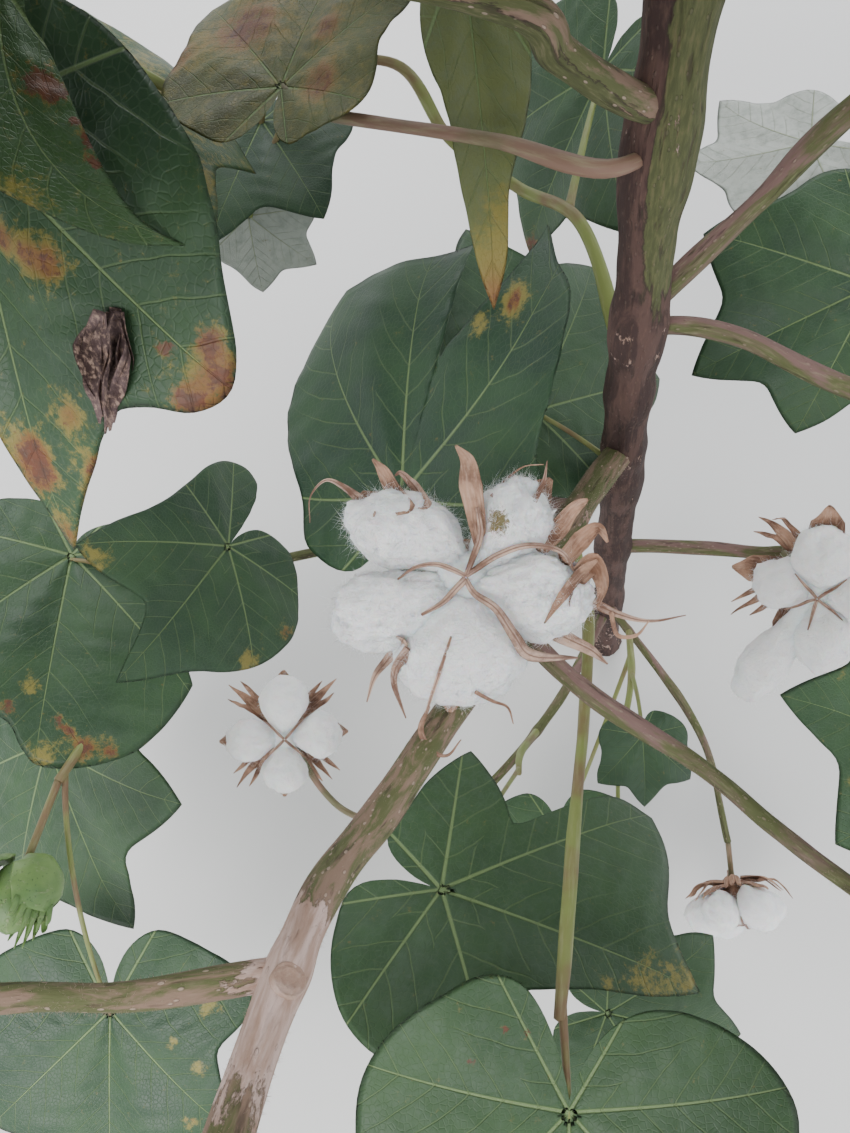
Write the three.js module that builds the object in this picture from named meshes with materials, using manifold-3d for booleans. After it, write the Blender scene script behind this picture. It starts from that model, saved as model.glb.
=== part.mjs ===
// A cotton plant late in its season: one woody main stem, side branches, broad lobed leaves and open bolls.
// Millimetres, +Z up. The flat cut under the main stem lies on the ground, and its centre is the origin.
// A direction is a bearing in degrees from +X towards +Y, and a rise in degrees over the horizontal.
import * as THREE from "three";
import { mergeVertices } from "three/addons/utils/BufferGeometryUtils.js";
import Module from "manifold-3d";

const wasm = await Module();
wasm.setup();

const GAP = 0.3; // between pieces that touch on the plant
const SMOOTHING = 0.5; // details of a joined mass under this size are smoothed away
const SMALLEST_EDGE = 0.08; // and of every body after its cuts, under this size
const CURVE_STEPS = 8; // points of a limb's line for each leg of it
const BARK = 0x6b5148;
const GREEN_BARK = 0x77754f;
const LEAF_GREEN = 0x3f6a4c;
const YELLOW_LEAF = 0x97883f;
const BUR_TAN = 0xa98263;
const LINT_WHITE = 0xf4f2f4;
const UNRIPE_GREEN = 0x6f9a4a;

// Limbs: the limb that one grows on, the distance along it, legs of [length, bearing, rise],
// and the radius at its foot and at its tip.
const LIMBS = {
  main_stem: {
    legs: [[193, 180, 85], [272, 180, 85.3], [120, 150, 87], [360, 185, 88.5], [290, 175, 89]],
    radius: [10.3, 2.8],
    colour: BARK,
  },
  front_branch: {
    on: "main_stem", at: 352, radius: [7.4, 4.9], colour: BARK,
    legs: [
      [64, -133, 20], [76, -130, 21], [90, -129, 30], [50, -128, 44], [36, -114, 50], [40, -111, 36],
      [62, -106, 40],
    ],
  },
  boll_branch: {
    on: "front_branch", at: 134, radius: [4.2, 2.6], colour: GREEN_BARK,
    legs: [[47, -62, 17], [49, -49, 6], [34, -54, 1], [28, -52, -1], [40, -50, 8]],
  },
  left_side_branch: {
    on: "front_branch", at: 316, radius: [3.7, 2.9], colour: BARK,
    legs: [[38, 177, 12], [30, 170, 4], [60, 172, 8]],
  },
  upper_left_branch: {
    on: "main_stem", at: 550, radius: [5.2, 3.6], colour: GREEN_BARK,
    legs: [[24, -159, 37], [27, -174, 43], [24, -176, 48], [90, 178, 20], [70, 172, 5]],
  },
  right_upper_branch: {
    on: "main_stem", at: 457, radius: [4.5, 3.2], colour: GREEN_BARK,
    legs: [[17, 14, 41], [42, 8, 48], [38, 0, 56], [90, -5, 48], [70, -8, 35]],
  },
  right_lower_branch: {
    on: "main_stem", at: 441, radius: [4.2, 3], colour: GREEN_BARK,
    legs: [[15, -15, 38], [28, -33, 8], [45, -50, 5], [80, -48, 10], [60, -40, 15]],
  },
  low_right_branch: {
    on: "main_stem", at: 219, radius: [4.4, 3], colour: GREEN_BARK,
    legs: [[54, -21, 13], [47, -25, 17], [60, -15, 10], [60, 20, 14]],
  },
  low_front_branch: {
    on: "main_stem", at: 118, radius: [3.6, 2.2], colour: GREEN_BARK,
    legs: [[12, -100, 30], [107, -70, -5], [79, -91, -8]],
  },
  low_left_branch: {
    on: "main_stem", at: 95, radius: [4.2, 2.4], colour: GREEN_BARK,
    legs: [[102, -130, 17], [92, -142, 14], [45, -162, 10]],
  },
  left_branch: {
    on: "main_stem", at: 304, radius: [4.6, 3], colour: GREEN_BARK,
    legs: [[70, 176, -10], [75, 174, -10], [58, 176, -10]],
  },
  back_branch: {
    on: "main_stem", at: 522, radius: [4.6, 3.2], colour: BARK,
    legs: [[60, 62, 36], [80, 70, 26], [80, 84, 22]],
  },
  back_right_branch: {
    on: "main_stem", at: 592, radius: [4.2, 2.9], colour: BARK,
    legs: [[50, 22, 34], [80, 36, 20], [70, 30, 12]],
  },
};

// A leaf that shows: the joint with its stalk, the length from there to its tip, the heading of its midrib,
// the roll about it, the place on the stem that the stalk leaves, and how far the stalk bows up.
const SHOWN = {
  left_tip_leaf: {
    joint: [-225, 55, 592], length: 90, head: [-76, -20], roll: -4, at: 20, bow: 0.1, curl: 12,
    wide: [0.4, 0.9],
  },
  left_pale_leaf: { joint: [-246, 123, 528], length: 100, head: [-54, -15], roll: 41, at: 360, bow: 0.1 },
  left_spotted_leaf: {
    joint: [-254, 45, 560], length: 136, head: [-100, -35], roll: -14, at: 46, bow: 0.15, wide: [0.9, 1],
  },
  left_low_leaf: { joint: [-242, -3, 338], length: 89, head: [-119, 25], roll: 47, at: 8, bow: 0.2 },
  left_edge_leaf: { joint: [-348, 38, 289], length: 124, head: [-97, 10], roll: 22, at: 62, bow: 0.2 },
  left_dark_leaf: { joint: [-408, -46, 201], length: 130, head: [-76, -4], roll: -34, at: 112, bow: -0.2 },
  left_front_leaf: {
    joint: [-367, -211, 218], length: 99, head: [-102, -16], roll: 2, at: 176, bow: 0.2, base: 1.3,
  },
  boll_leaf: {
    joint: [-147, -14, 374], length: 141, head: [64, 19], roll: 30, at: 12, bow: 0.1, sweep: [0.2, 0.45],
  },
  hanging_leaf: {
    joint: [-84, 110, 541], length: 130, head: [-91, -23], roll: 12, at: 14, bow: 0.2, wide: [0.38, 0.38],
  },
  dying_leaf: {
    joint: [-158, 82, 522], length: 76, head: [64, 6], roll: 10, at: 138, bow: 0.1, wide: [1, 0.75],
  },
  left_shade_leaf: { joint: [-175, 158, 451], length: 70, head: [-119, -2], roll: 0, at: 280, bow: 0.1 },
  right_pale_leaf: { joint: [115, 148, 375], length: 68, head: [-193, -15], roll: 178, at: 104, bow: 0.2 },
  right_dark_leaf: {
    joint: [120, 57, 361], length: 100, head: [-174, -17], roll: 18, at: 58, bow: 0.2, wide: [0.8, 1],
  },
  right_front_leaf: { joint: [17, -190, 444], length: 63, head: [148, 13], roll: -9, at: 12, bow: 0.1 },
  front_leaf: { joint: [-167, -189, 312], length: 130, head: [-27, -5], roll: 24, at: 66, bow: 0.1 },
  long_stalk_leaf: {
    joint: [-133, -275, 371], length: 106, head: [-104, -16], roll: 3, at: 212, bow: 0.05, base: 1.1,
  },
  front_under_leaf: { joint: [-99, -261, 235], length: 73, head: [-23, -6], roll: -22, at: 112, bow: 0.2 },
  front_low_leaf: { joint: [-90, -164, 102], length: 97, head: [-98, -9], roll: -1, at: 30, bow: 0.2 },
  front_small_leaf: { joint: [-32, -120, 196], length: 44, head: [-100, -12], roll: 12, at: 52, bow: 0.2 },
  stem_leaf: {
    joint: [-68, 39, 338], length: 116, head: [54, 0], roll: -33, at: 14, bow: 0.1, wide: [1, 0.85],
  },
  behind_leaf: { joint: [10, 204, 402], length: 102, head: [-141, -42], roll: -22, at: 96, bow: 0.1 },
  silver_leaf: { joint: [-192, 126, 427], length: 39, head: [-35, -37], roll: 164, at: 262, bow: 0.1 },
};

// Masses of leaves: what the stem grows on, its legs, the leaves that show on it, and the seeded rest:
// the space between leaves along the stem, the leaf lengths, and how many nodes there are
// from one boll to the next.
const MASSES = {
  boll_leaf: {
    on: "front_branch", at: 96, legs: [[16, 160, -15]], radius: [2.2, 1.9], shown: ["boll_leaf"],
  },
  long_stalk_leaf: {
    on: "front_branch", at: 66, radius: [2.8, 2.6], shown: ["long_stalk_leaf"],
    legs: [[34, -88, -38], [26, -98, -12], [98, -110, 9], [61, -110, 8]],
  },
  stem_leaf: {
    on: "main_stem", at: 322, legs: [[16, 130, 24]], radius: [2.3, 2.1], shown: ["stem_leaf"],
  },
  hanging_leaf: {
    on: "main_stem", at: 612, legs: [[20, 112, 6]], radius: [2.4, 2.1], shown: ["hanging_leaf"],
  },
  dying_leaf: {
    on: "main_stem", at: 536, radius: [2.7, 2.1], shown: ["dying_leaf"], colour: YELLOW_LEAF,
    legs: [[25, -157, 14], [38, 133, -10], [39, 138, -12], [34, 139, -11], [12, 138, 8]],
  },
  back_left_leaves: {
    on: "main_stem", at: 402, radius: [3.4, 2.1],
    shown: ["behind_leaf", "silver_leaf", "left_shade_leaf", "left_pale_leaf"],
    legs: [
      [80, 92, 17], [52, 113, -14], [44, 135, 17], [45, 153, 56], [65, -170, 15], [45, -126, 25],
      [37, -158, 50],
    ],
  },
  upper_left_leaves: {
    on: "upper_left_branch", radius: [3.3, 2.2], shown: ["left_tip_leaf", "left_spotted_leaf"],
    legs: [[55, 160, 8], [55, 190, 5], [50, 170, 10]], space: 40, leaf: [92, 118], bolls: 3,
  },
  left_leaves: {
    on: "left_branch", radius: [2.8, 2.2], legs: [[49, -160, 2], [80, -137, 8], [52, -122, 18]],
    shown: [
      "left_low_leaf", "left_edge_leaf", "left_dark_leaf", "left_front_leaf"], space: 52, leaf: [90, 118,
    ],
  },
  left_side_leaves: {
    on: "left_side_branch", radius: [2.8, 1.9], legs: [[55, 165, 20], [55, 188, 15], [50, 168, 10]],
    space: 38, leaf: [86, 112], bolls: 3,
  },
  front_branch_leaves: {
    on: "front_branch", radius: [4.6, 2.2], legs: [[60, -100, 46], [60, -84, 52], [60, -98, 42]],
    space: 36, leaf: [88, 116], bolls: 3,
  },
  boll_branch_leaves: {
    on: "boll_branch", radius: [2.5, 1.8], legs: [[50, -45, 15], [50, -62, 20], [45, -48, 12]],
    shown: ["right_front_leaf"], space: 42, leaf: [84, 108], bolls: 4,
  },
  right_upper_leaves: {
    on: "right_upper_branch", radius: [3, 2], legs: [[60, 5, 25], [60, -12, 30], [55, 6, 20]],
    space: 38, leaf: [90, 120], bolls: 3,
  },
  right_lower_leaves: {
    on: "right_lower_branch", radius: [2.8, 1.9], legs: [[55, -35, 20], [55, -20, 15], [55, -42, 20]],
    space: 38, leaf: [92, 122], bolls: 3,
  },
  low_right_leaves: {
    on: "low_right_branch", radius: [2.8, 1.9], shown: ["right_dark_leaf", "right_pale_leaf"],
    legs: [[55, 70, 22], [55, 80, 18], [50, 50, 15]], space: 50, leaf: [92, 118], bolls: 4,
  },
  low_front_leaves: {
    on: "low_front_branch", at: 40, radius: [2.6, 2], legs: [[60, -110, 35], [60, -118, 12]],
    shown: ["front_low_leaf", "front_small_leaf", "front_under_leaf"],
  },
  front_low_leaves: {
    on: "low_left_branch", at: 128, legs: [[45, -132, 56], [26, -110, 50]], radius: [2.6, 2],
    shown: ["front_leaf"],
  },
  back_leaves: {
    on: "back_branch", radius: [3.1, 1.9], legs: [[60, 74, 26], [60, 96, 20], [60, 80, 24]],
    space: 34, leaf: [94, 122], bolls: 3,
  },
  back_right_leaves: {
    on: "back_right_branch", radius: [2.8, 1.8], legs: [[60, 40, 18], [60, 20, 24], [55, 38, 18]],
    space: 34, leaf: [94, 122], bolls: 3,
  },
};

// The fruiting branches of the upper stem follow one rule, from the lowest to the highest.
const UPPER = {
  count: 13,
  height: [632, 1192],
  turn: 137.5, // from each branch to the next, round the stem
  first: 205,
  reach: [330, 92],
  rise: [26, 48],
  radius: [3.6, 1.7],
  leaf: [[98, 124], [58, 74]],
  space: [48, 34],
  leg: 52,
  zigzag: 13,
  tip_radius: 1.5,
  first_rise: 14, // what the first leg rises above the rest
  sag: 4, // degrees less of rise for each leg
  bolls: 2,
  ripe: 0.9, // share of the bolls that is open on the lowest branch, none on the highest
};
const TIP = {
  on: "main_stem", legs: [[30, 170, 80], [28, 200, 84]], radius: [2.4, 1.4], space: 13, leaf: [44, 60],
};

// Open bolls that show: the middle of the lint, the way that it faces, and its locks of
// [clock angle, distance out, half length, half width, half depth, lean of the length from straight out].
const OPEN_BOLLS = {
  front_boll: {
    on: "front_branch", at: 128, centre: [-131, -97, 460], face: [-96, 68], roll: -6, stalk: 3.2, bur: 48,
    detail: 1,
    locks: [
      [139, 26, 21, 14, 15, 30], [48, 27, 15, 13, 15, 30], [-12, 25, 20, 15, 15, 7],
      [-96, 26, 23, 18, 16, 90], [-158, 28, 21, 14, 15, -12],
    ],
  },
  left_boll: {
    on: "low_left_branch", centre: [-256, -72, 190], face: [-70, 62], roll: 20, stalk: 2.2, bur: 42,
    detail: 0,
    via: [[41, 157, 2], [29, 133, 17]],
    locks: [[135, 22, 15, 14, 15], [40, 22, 17, 15, 15], [-50, 22, 15, 15, 15], [-140, 22, 15, 15, 15]],
  },
  right_boll: {
    on: "low_right_branch", at: 100, centre: [62, -80, 292], face: [-130, 35], roll: 10, stalk: 2.4, bur: 46,
    detail: 0,
    via: [[24, -62, 50]],
    locks: [
      [100, 20, 18, 16, 15], [10, 22, 18, 16, 15], [-72, 26, 24, 15, 14], [-104, 58, 28, 14, 13],
      [-175, 18, 16, 14, 14],
    ],
  },
  hanging_boll: {
    on: "low_front_branch", centre: [21, -233, 84], face: [-96, 8], roll: 0, stalk: 1.9, bur: 30, detail: 0,
    locks: [
      [60, 15, 14, 13, 14], [-30, 19, 18, 14, 14], [-94, 32, 22, 13, 14], [-150, 20, 18, 14, 14],
      [150, 15, 14, 13, 14],
    ],
  },
};
const GREEN_BOLL = { on: "left_leaves", centre: [-377, -147, 297], point: [-100, 14], size: 17, stalk: 2 };

// A pyramid of clear air on the front left, in which only the leaves that show hang.
const CLEARING = { apex: [-143, -207, 737], down: 67, roll: -12, half_width: 0.515, half_height: 0.685 };

// The half outline of a leaf, as [share of its length, degrees from the midrib].
const LEAF_EDGE = [[1, 0], [0.76, 22], [0.93, 47], [0.68, 72], [0.6, 100], [0.44, 136], [0.04, 180]];
const LEAF_BASE = 100; // degrees from the midrib at which the lobes by the joint begin
const LEAF_HEART = 0.3; // the middle of the blade, from its joint
const LEAF_THICKNESS = 0.03;
const LEAF_BEND = 0.1; // how far the tip curls down
const LEAF_FOLD = 9; // degrees that each half lifts
const LEAF_BALL = 7.5; // radius round each sample of a blade that stays clear of the rest
const BLADE_DEEP = 0.66; // how far the samples of a blade's middle lie out from its heart
const BLADE_SHALLOW = 0.33;

const STALK_RADIUS = [2.1, 1.4];
const STALK_SHARE = 0.7; // the most that a stalk's foot takes of its stem's radius
const STALK_SUNK = 0.08; // how far the stalk runs into the blade
const STALK_STEPS = 6;

// How the main stem swells at its root and thins late.
const ROOT_FLARE = 4.6;
const FLARE_HEIGHT = 20;
const LATE_TAPER = 3.2;

// How the leaves of a mass are dealt out, each value from its least to its most.
const SPRAY = {
  aside: [38, 100], // bearing of the stalk off the stem's own
  rise: [4, 46],
  reach: [46, 96],
  swing: [-24, 24], // bearing of the blade off its stalk's
  droop: [-34, -6],
  roll: [-16, 16],
  bow: 0.08,
};
const FIRST_LEAF = 20; // distance along the stem
const FIRST_SEED = 4001;
const SEED_STEP = 97;
const SEED_FACTOR = 1664525;
const SEED_TERM = 1013904223;
const SEED_RANGE = 2 ** 32;
const TRIES = 7;
const LOWEST = 24;
const SHOWN_MARGIN = 14; // beyond the sides of the clearing
const LIMB_MARGIN = 3; // beyond the radius of a limb

// The small bolls of the masses.
const SMALL_BOLL = {
  aside: [40, 80],
  rise: [0, 40],
  open_size: [24, 28],
  closed_size: [14, 16],
  off: 24, // length of the stalk that shows
  ripe: 0.75, // share of them that is open
  room: 1.15,
  stalk: 1.5,
  bow: 0.05,
};
const BOLL_ROOM = 46; // radius round an open boll that stays clear
const GREEN_BOLL_ROOM = 26;

// Faces round a limb, a stem of a mass and a stalk, and rings along them.
const STEM_SIDES = 10;
const STEM_RINGS = 15;
const BRANCH_SIDES = 6;
const TWIG_SIDES = 4;
const STALK_SIDES = 3;
const RINGS_A_LEG = 2;

// An open boll: the core that its locks meet round, and how far behind the middle its bur reaches.
const LINT_CORE = [13, 13, 9];
const BUR_DEPTH = 28;
const BUR_ROOT = 20;
// The rim of a bur from one lock to the next: a valve's tip, a notch, a bract's tip and a notch,
// as [share of the turn, share of the bur's radius, place forward].
const BUR_RIM = [[0, 1, -12], [0.28, 0.6, -17], [0.5, 1.12, -20], [0.72, 0.6, -17]];

// A small boll's lint and bracts, as shares of its size.
const LOBES = 4;
const LOBE_PINCH = 0.68;
const LOBE_DEPTH = 0.72;
const BRACTS = 3;
const BRACT_TIP = { radius: 1.25, open: -0.3, closed: 0.5 };
const BRACT_NOTCH = { radius: 0.6, open: -0.5, closed: -0.1 };
const CUP_BACK = 0.9;
const EGG = [0.8, 0.8, 1];
const GREEN_EGG = [0.85, 0.85, 1.1];
const GREEN_CUP_BACK = 0.7;

// Limbs and masses that are also cut clear of another limb than the one that they grow on.
const CROWDED = {
  right_upper_branch: ["right_lower_branch"],
  long_stalk_leaf: ["main_stem"],
};

const ROUGHNESS = { bark: 0.85, leaf: 0.7, lint: 1, bur: 0.9, unripe: 0.6 };

const rad = THREE.MathUtils.degToRad;
const lerp = THREE.MathUtils.lerp;
const vec = (p) => new THREE.Vector3(...p);

function heading(bearing, rise) {
  const flat = Math.cos(rad(rise));
  return new THREE.Vector3(Math.cos(rad(bearing)) * flat, Math.sin(rad(bearing)) * flat, Math.sin(rad(rise)));
}

// The same numbers from 0 to 1 on every run.
function seeded(seed) {
  let state = seed;
  return () => {
    state = (SEED_FACTOR * state + SEED_TERM) % SEED_RANGE;
    return state / SEED_RANGE;
  };
}

// The places where the legs end, one after the other from the start.
function endsOf(start, legs) {
  const ends = [start.clone()];
  for (const [length, bearing, rise] of legs) {
    ends.push(ends[ends.length - 1].clone().addScaledVector(heading(bearing, rise), length));
  }
  return ends;
}

// A smooth line through the ends, with the length along it at each of its points.
function smoothLine(ends) {
  const curve = new THREE.CatmullRomCurve3(ends, false, "catmullrom", 0.5);
  return measured(curve.getPoints((ends.length - 1) * CURVE_STEPS));
}

function measured(points) {
  const along = [0];
  for (let i = 1; i < points.length; i++) along.push(along[i - 1] + points[i].distanceTo(points[i - 1]));
  return { points, along, length: along[along.length - 1] };
}

function placeOn(line, distance) {
  const last = line.points.length - 1;
  const s = Math.min(Math.max(distance, 0), line.length);
  let i = 0;
  while (i < last - 1 && line.along[i + 1] < s) i++;
  const share = (s - line.along[i]) / (line.along[i + 1] - line.along[i]);
  const way = line.points[i + 1].clone().sub(line.points[i]);
  return { point: line.points[i].clone().addScaledVector(way, share), way: way.normalize() };
}

function bearingOf(way) {
  return THREE.MathUtils.radToDeg(Math.atan2(way.y, way.x));
}

// The radius of a limb at a share of its length.
function limbRadius(name, share, length) {
  const [foot, tip] = lines[name].radius;
  if (name !== "main_stem") return lerp(foot, tip, share);
  const flare = ROOT_FLARE * Math.exp((-share * length) / FLARE_HEIGHT);
  return tip + (foot - tip) * (1 - share ** LATE_TAPER) + flare;
}

// A leaf's own directions: forward along the midrib, up off its face, and left.
function leafFrame(row) {
  const forward = heading(...row.head);
  const upright = new THREE.Vector3(0, 0, 1).addScaledVector(forward, -forward.z).normalize();
  const across = upright.clone().cross(forward);
  const up = upright.multiplyScalar(Math.cos(rad(row.roll))).addScaledVector(across, Math.sin(rad(row.roll)));
  return { forward, up, left: up.clone().cross(forward) };
}

// A point of the blade, from its share of the length and its angle from the midrib, left positive.
function bladePoint(leaf, outlineShare, angle) {
  const half = angle > 0 ? 0 : 1;
  const share = outlineShare * (Math.abs(angle) < LEAF_BASE ? 1 : (leaf.base ?? 1));
  const swept = angle * (1 - (leaf.sweep?.[half] ?? 0) * share * share);
  const turned = rad(swept + (leaf.curl ?? 0) * share * share);
  const x = share * Math.cos(turned);
  const y = share * Math.sin(turned) * (leaf.wide?.[half] ?? 1);
  const fold = rad(LEAF_FOLD);
  const lift = Math.abs(y) * Math.sin(fold) - LEAF_BEND * share * share * (1 + Math.abs(y));
  return leaf.joint
    .clone()
    .addScaledVector(leaf.frame.forward, x * leaf.length)
    .addScaledVector(leaf.frame.left, y * Math.cos(fold) * leaf.length)
    .addScaledVector(leaf.frame.up, lift * leaf.length);
}

function leafRim() {
  const left = LEAF_EDGE.map(([share, angle]) => [share, angle]);
  const right = LEAF_EDGE.slice(1, -1).map(([share, angle]) => [share, -angle]);
  return left.concat(right.reverse());
}

// Points spread over the blade, by which it is kept clear of the rest.
function leafSamples(leaf) {
  const rim = leafRim().map(([share, angle]) => bladePoint(leaf, share, angle));
  const heart = bladePoint(leaf, LEAF_HEART, 0);
  const samples = [heart];
  rim.forEach((point, i) => {
    const next = rim[(i + 1) % rim.length];
    for (const step of [0, 1 / 3, 2 / 3]) {
      const edge = point.clone().lerp(next, step);
      samples.push(edge, heart.clone().lerp(edge, BLADE_DEEP));
    }
    samples.push(heart.clone().lerp(point, BLADE_SHALLOW));
  });
  return samples;
}

// A stalk: from its start it bows over to its end.
function stalkLine(start, end, bow) {
  const middle = start.clone().lerp(end, 0.5);
  middle.z += bow * start.distanceTo(end);
  return measured(new THREE.QuadraticBezierCurve3(start, middle, end).getPoints(STALK_STEPS));
}

// Everything that has been grown, as groups of balls that the next leaf keeps clear of.
const grown = [];

function remember(points, radius, name) {
  const box = new THREE.Box3().setFromPoints(points);
  grown.push({ points, radius, box, name });
}

function meets(points, radius, ignored) {
  const box = new THREE.Box3().setFromPoints(points);
  for (const other of grown) {
    if (other.name === ignored) continue;
    const near = radius + other.radius;
    if (!box.clone().expandByScalar(near).intersectsBox(other.box)) continue;
    for (const a of points) {
      for (const b of other.points) {
        if (a.distanceToSquared(b) < near * near) return true;
      }
    }
  }
  return false;
}

const pitch = rad(CLEARING.down);
const VIEW_IN = new THREE.Vector3(0, Math.cos(pitch), -Math.sin(pitch));
const turn = rad(CLEARING.roll);
const level = new THREE.Vector3(1, 0, 0);
const rising = new THREE.Vector3(0, Math.sin(pitch), Math.cos(pitch));
const VIEW_RIGHT = level.clone().multiplyScalar(Math.cos(turn)).addScaledVector(rising, Math.sin(turn));
const VIEW_UP = level.clone().multiplyScalar(-Math.sin(turn)).addScaledVector(rising, Math.cos(turn));

function inClearing(point) {
  const off = point.clone().sub(vec(CLEARING.apex));
  const depth = off.dot(VIEW_IN);
  const wide = Math.abs(off.dot(VIEW_RIGHT)) < depth * CLEARING.half_width + SHOWN_MARGIN;
  const high = Math.abs(off.dot(VIEW_UP)) < depth * CLEARING.half_height + SHOWN_MARGIN;
  return depth > -SHOWN_MARGIN && wide && high;
}

function keepLeaf(leaf, mass) {
  mass.leaves.push(leaf);
  remember(leafSamples(leaf), LEAF_BALL, mass.name);
  remember(leaf.stalk.points.slice(1), STALK_RADIUS[0] + 1, mass.name);
}

function shownLeaf(name, mass) {
  const row = SHOWN[name];
  const leaf = { ...row, name, joint: vec(row.joint), frame: leafFrame(row) };
  const start = placeOn(mass.line, row.at).point;
  leaf.stalk = stalkLine(start, leaf.joint, row.bow);
  keepLeaf(leaf, mass);
}

// One try at a seeded leaf: its stalk leaves the stem sideways and up, and the blade hangs out from it.
function seededLeaf(mass, distance, side, random) {
  const { point, way } = placeOn(mass.line, distance);
  const bearing = bearingOf(way) + side * lerp(...SPRAY.aside, random());
  const rise = lerp(...SPRAY.rise, random());
  const reach = lerp(...SPRAY.reach, random());
  const length = lerp(...mass.leaf, random());
  const head = [bearing + lerp(...SPRAY.swing, random()), lerp(...SPRAY.droop, random())];
  const roll = lerp(...SPRAY.roll, random());
  const joint = point.clone().addScaledVector(heading(bearing, rise), reach);
  const leaf = { joint, length, head, roll, at: distance, frame: leafFrame({ head, roll }) };
  leaf.stalk = stalkLine(point, joint, SPRAY.bow);
  return leaf;
}

function leafFits(leaf, mass) {
  const blade = leafSamples(leaf);
  const stalk = leaf.stalk.points.slice(2);
  for (const point of blade.concat(stalk)) {
    if (point.z < LOWEST || inClearing(point)) return false;
  }
  if (meets(blade, LEAF_BALL, "")) return false;
  return !meets(stalk, STALK_RADIUS[0] + 1.5, mass.name);
}

function seededBoll(mass, distance, side, random) {
  const { point, way } = placeOn(mass.line, distance);
  const bearing = bearingOf(way) - side * lerp(...SMALL_BOLL.aside, random());
  const rise = lerp(...SMALL_BOLL.rise, random());
  const open = random() < mass.ripe;
  const size = lerp(...(open ? SMALL_BOLL.open_size : SMALL_BOLL.closed_size), random());
  const face = heading(bearing, rise);
  const centre = point.clone().addScaledVector(face, SMALL_BOLL.off + size);
  return { centre, face, size, open, spin: 360 * random(), start: point };
}

function bollFits(boll) {
  if (inClearing(boll.centre)) return false;
  return !meets([boll.centre], boll.size * SMALL_BOLL.room, "");
}

// Leaves stand on both sides of the stem in turn, and every few of them has a boll across from it.
function growLeaves(mass, random) {
  if (!mass.space) return;
  let side = random() < 0.5 ? 1 : -1;
  let node = 0;
  for (let s = FIRST_LEAF; s < mass.line.length; s += mass.space) {
    for (let i = 0; i < TRIES; i++) {
      const leaf = seededLeaf(mass, s, side, random);
      if (leafFits(leaf, mass)) {
        keepLeaf(leaf, mass);
        break;
      }
    }
    node += 1;
    if (mass.bolls && node % mass.bolls === 0) {
      const boll = seededBoll(mass, s, side, random);
      if (bollFits(boll)) {
        mass.small.push(boll);
        remember([boll.centre], boll.size * SMALL_BOLL.room, mass.name);
      }
    }
    side = -side;
  }
}

const lines = {};
const masses = [];

function growLimb(name, row) {
  const start = row.on ? placeOn(lines[row.on].line, row.at ?? Infinity).point : new THREE.Vector3();
  lines[name] = { name, ...row, line: smoothLine(endsOf(start, row.legs)) };
  remember(lines[name].line.points, row.radius[0] + LIMB_MARGIN, name);
}

function addMass(name, row) {
  growLimb(name, row);
  masses.push(Object.assign(lines[name], { leaves: [], small: [], ripe: row.ripe ?? SMALL_BOLL.ripe }));
}

// The rows of the upper fruiting branches, which get shorter, steeper and thinner towards the tip.
function upperRows() {
  const rows = {};
  for (let i = 0; i < UPPER.count; i++) {
    const share = i / (UPPER.count - 1);
    const reach = lerp(...UPPER.reach, share);
    const count = Math.max(2, Math.round(reach / UPPER.leg));
    const legs = [];
    for (let k = 0; k < count; k++) {
      const swing = (k % 2 ? 1 : -1) * UPPER.zigzag;
      const rise = lerp(...UPPER.rise, share) + (k ? 0 : UPPER.first_rise) - UPPER.sag * k;
      legs.push([reach / count, UPPER.first + UPPER.turn * i + swing, rise]);
    }
    rows[`upper_leaves_${i + 1}`] = {
      on: "main_stem",
      at: lerp(...UPPER.height, share),
      legs,
      radius: [lerp(...UPPER.radius, share), UPPER.tip_radius],
      space: lerp(...UPPER.space, share),
      leaf: [0, 1].map((k) => lerp(UPPER.leaf[0][k], UPPER.leaf[1][k], share)),
      bolls: UPPER.bolls,
      ripe: UPPER.ripe * (1 - share),
    };
  }
  return { ...rows, tip_leaves: TIP };
}

for (const [name, row] of Object.entries(LIMBS)) growLimb(name, row);
for (const [name, row] of Object.entries(MASSES)) addMass(name, row);
for (const [name, row] of Object.entries(upperRows())) addMass(name, row);
for (const [name, row] of Object.entries(OPEN_BOLLS)) remember([vec(row.centre)], BOLL_ROOM, name);
remember([vec(GREEN_BOLL.centre)], GREEN_BOLL_ROOM, "green_boll");
for (const mass of masses) (mass.shown ?? []).forEach((name) => shownLeaf(name, mass));
masses.forEach((mass, i) => growLeaves(mass, seeded(FIRST_SEED + SEED_STEP * i)));

// Solids. A shape of three.js becomes a closed body that can be joined and cut.
function bodyOf(geometry) {
  geometry.deleteAttribute("normal");
  geometry.deleteAttribute("uv");
  const merged = mergeVertices(geometry, 1e-4);
  return new wasm.Manifold(
    new wasm.Mesh({
      numProp: 3,
      vertProperties: merged.attributes.position.array,
      triVerts: new Uint32Array(merged.index.array),
    }),
  );
}

function joined(bodies) {
  return wasm.Manifold.union(bodies);
}

// Moves each vertex of a geometry by a function of its old place.
function reshaped(geometry, place) {
  const at = geometry.attributes.position;
  for (let i = 0; i < at.count; i++) {
    const moved = place(at.getX(i), at.getY(i), at.getZ(i));
    at.setXYZ(i, moved.x, moved.y, moved.z);
  }
  return geometry;
}

// The rings round a line: each one's middle, the way through it, and a sideways direction
// that is turned with the line from ring to ring without a twist.
function ringsOf(line, count) {
  const middles = [];
  for (let k = 0; k <= count; k++) middles.push(placeOn(line, (k / count) * line.length).point);
  const ways = middles.map((_, k) => {
    return middles[Math.min(k + 1, count)].clone().sub(middles[Math.max(k - 1, 0)]).normalize();
  });
  const upright = Math.abs(ways[0].z) > 0.9 ? new THREE.Vector3(1, 0, 0) : new THREE.Vector3(0, 0, 1);
  let right = ways[0].clone().cross(upright);
  return middles.map((middle, k) => {
    right = right.clone().addScaledVector(ways[k], -right.dot(ways[k])).normalize();
    return { middle, way: ways[k], right, out: right.clone().cross(ways[k]) };
  });
}

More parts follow.
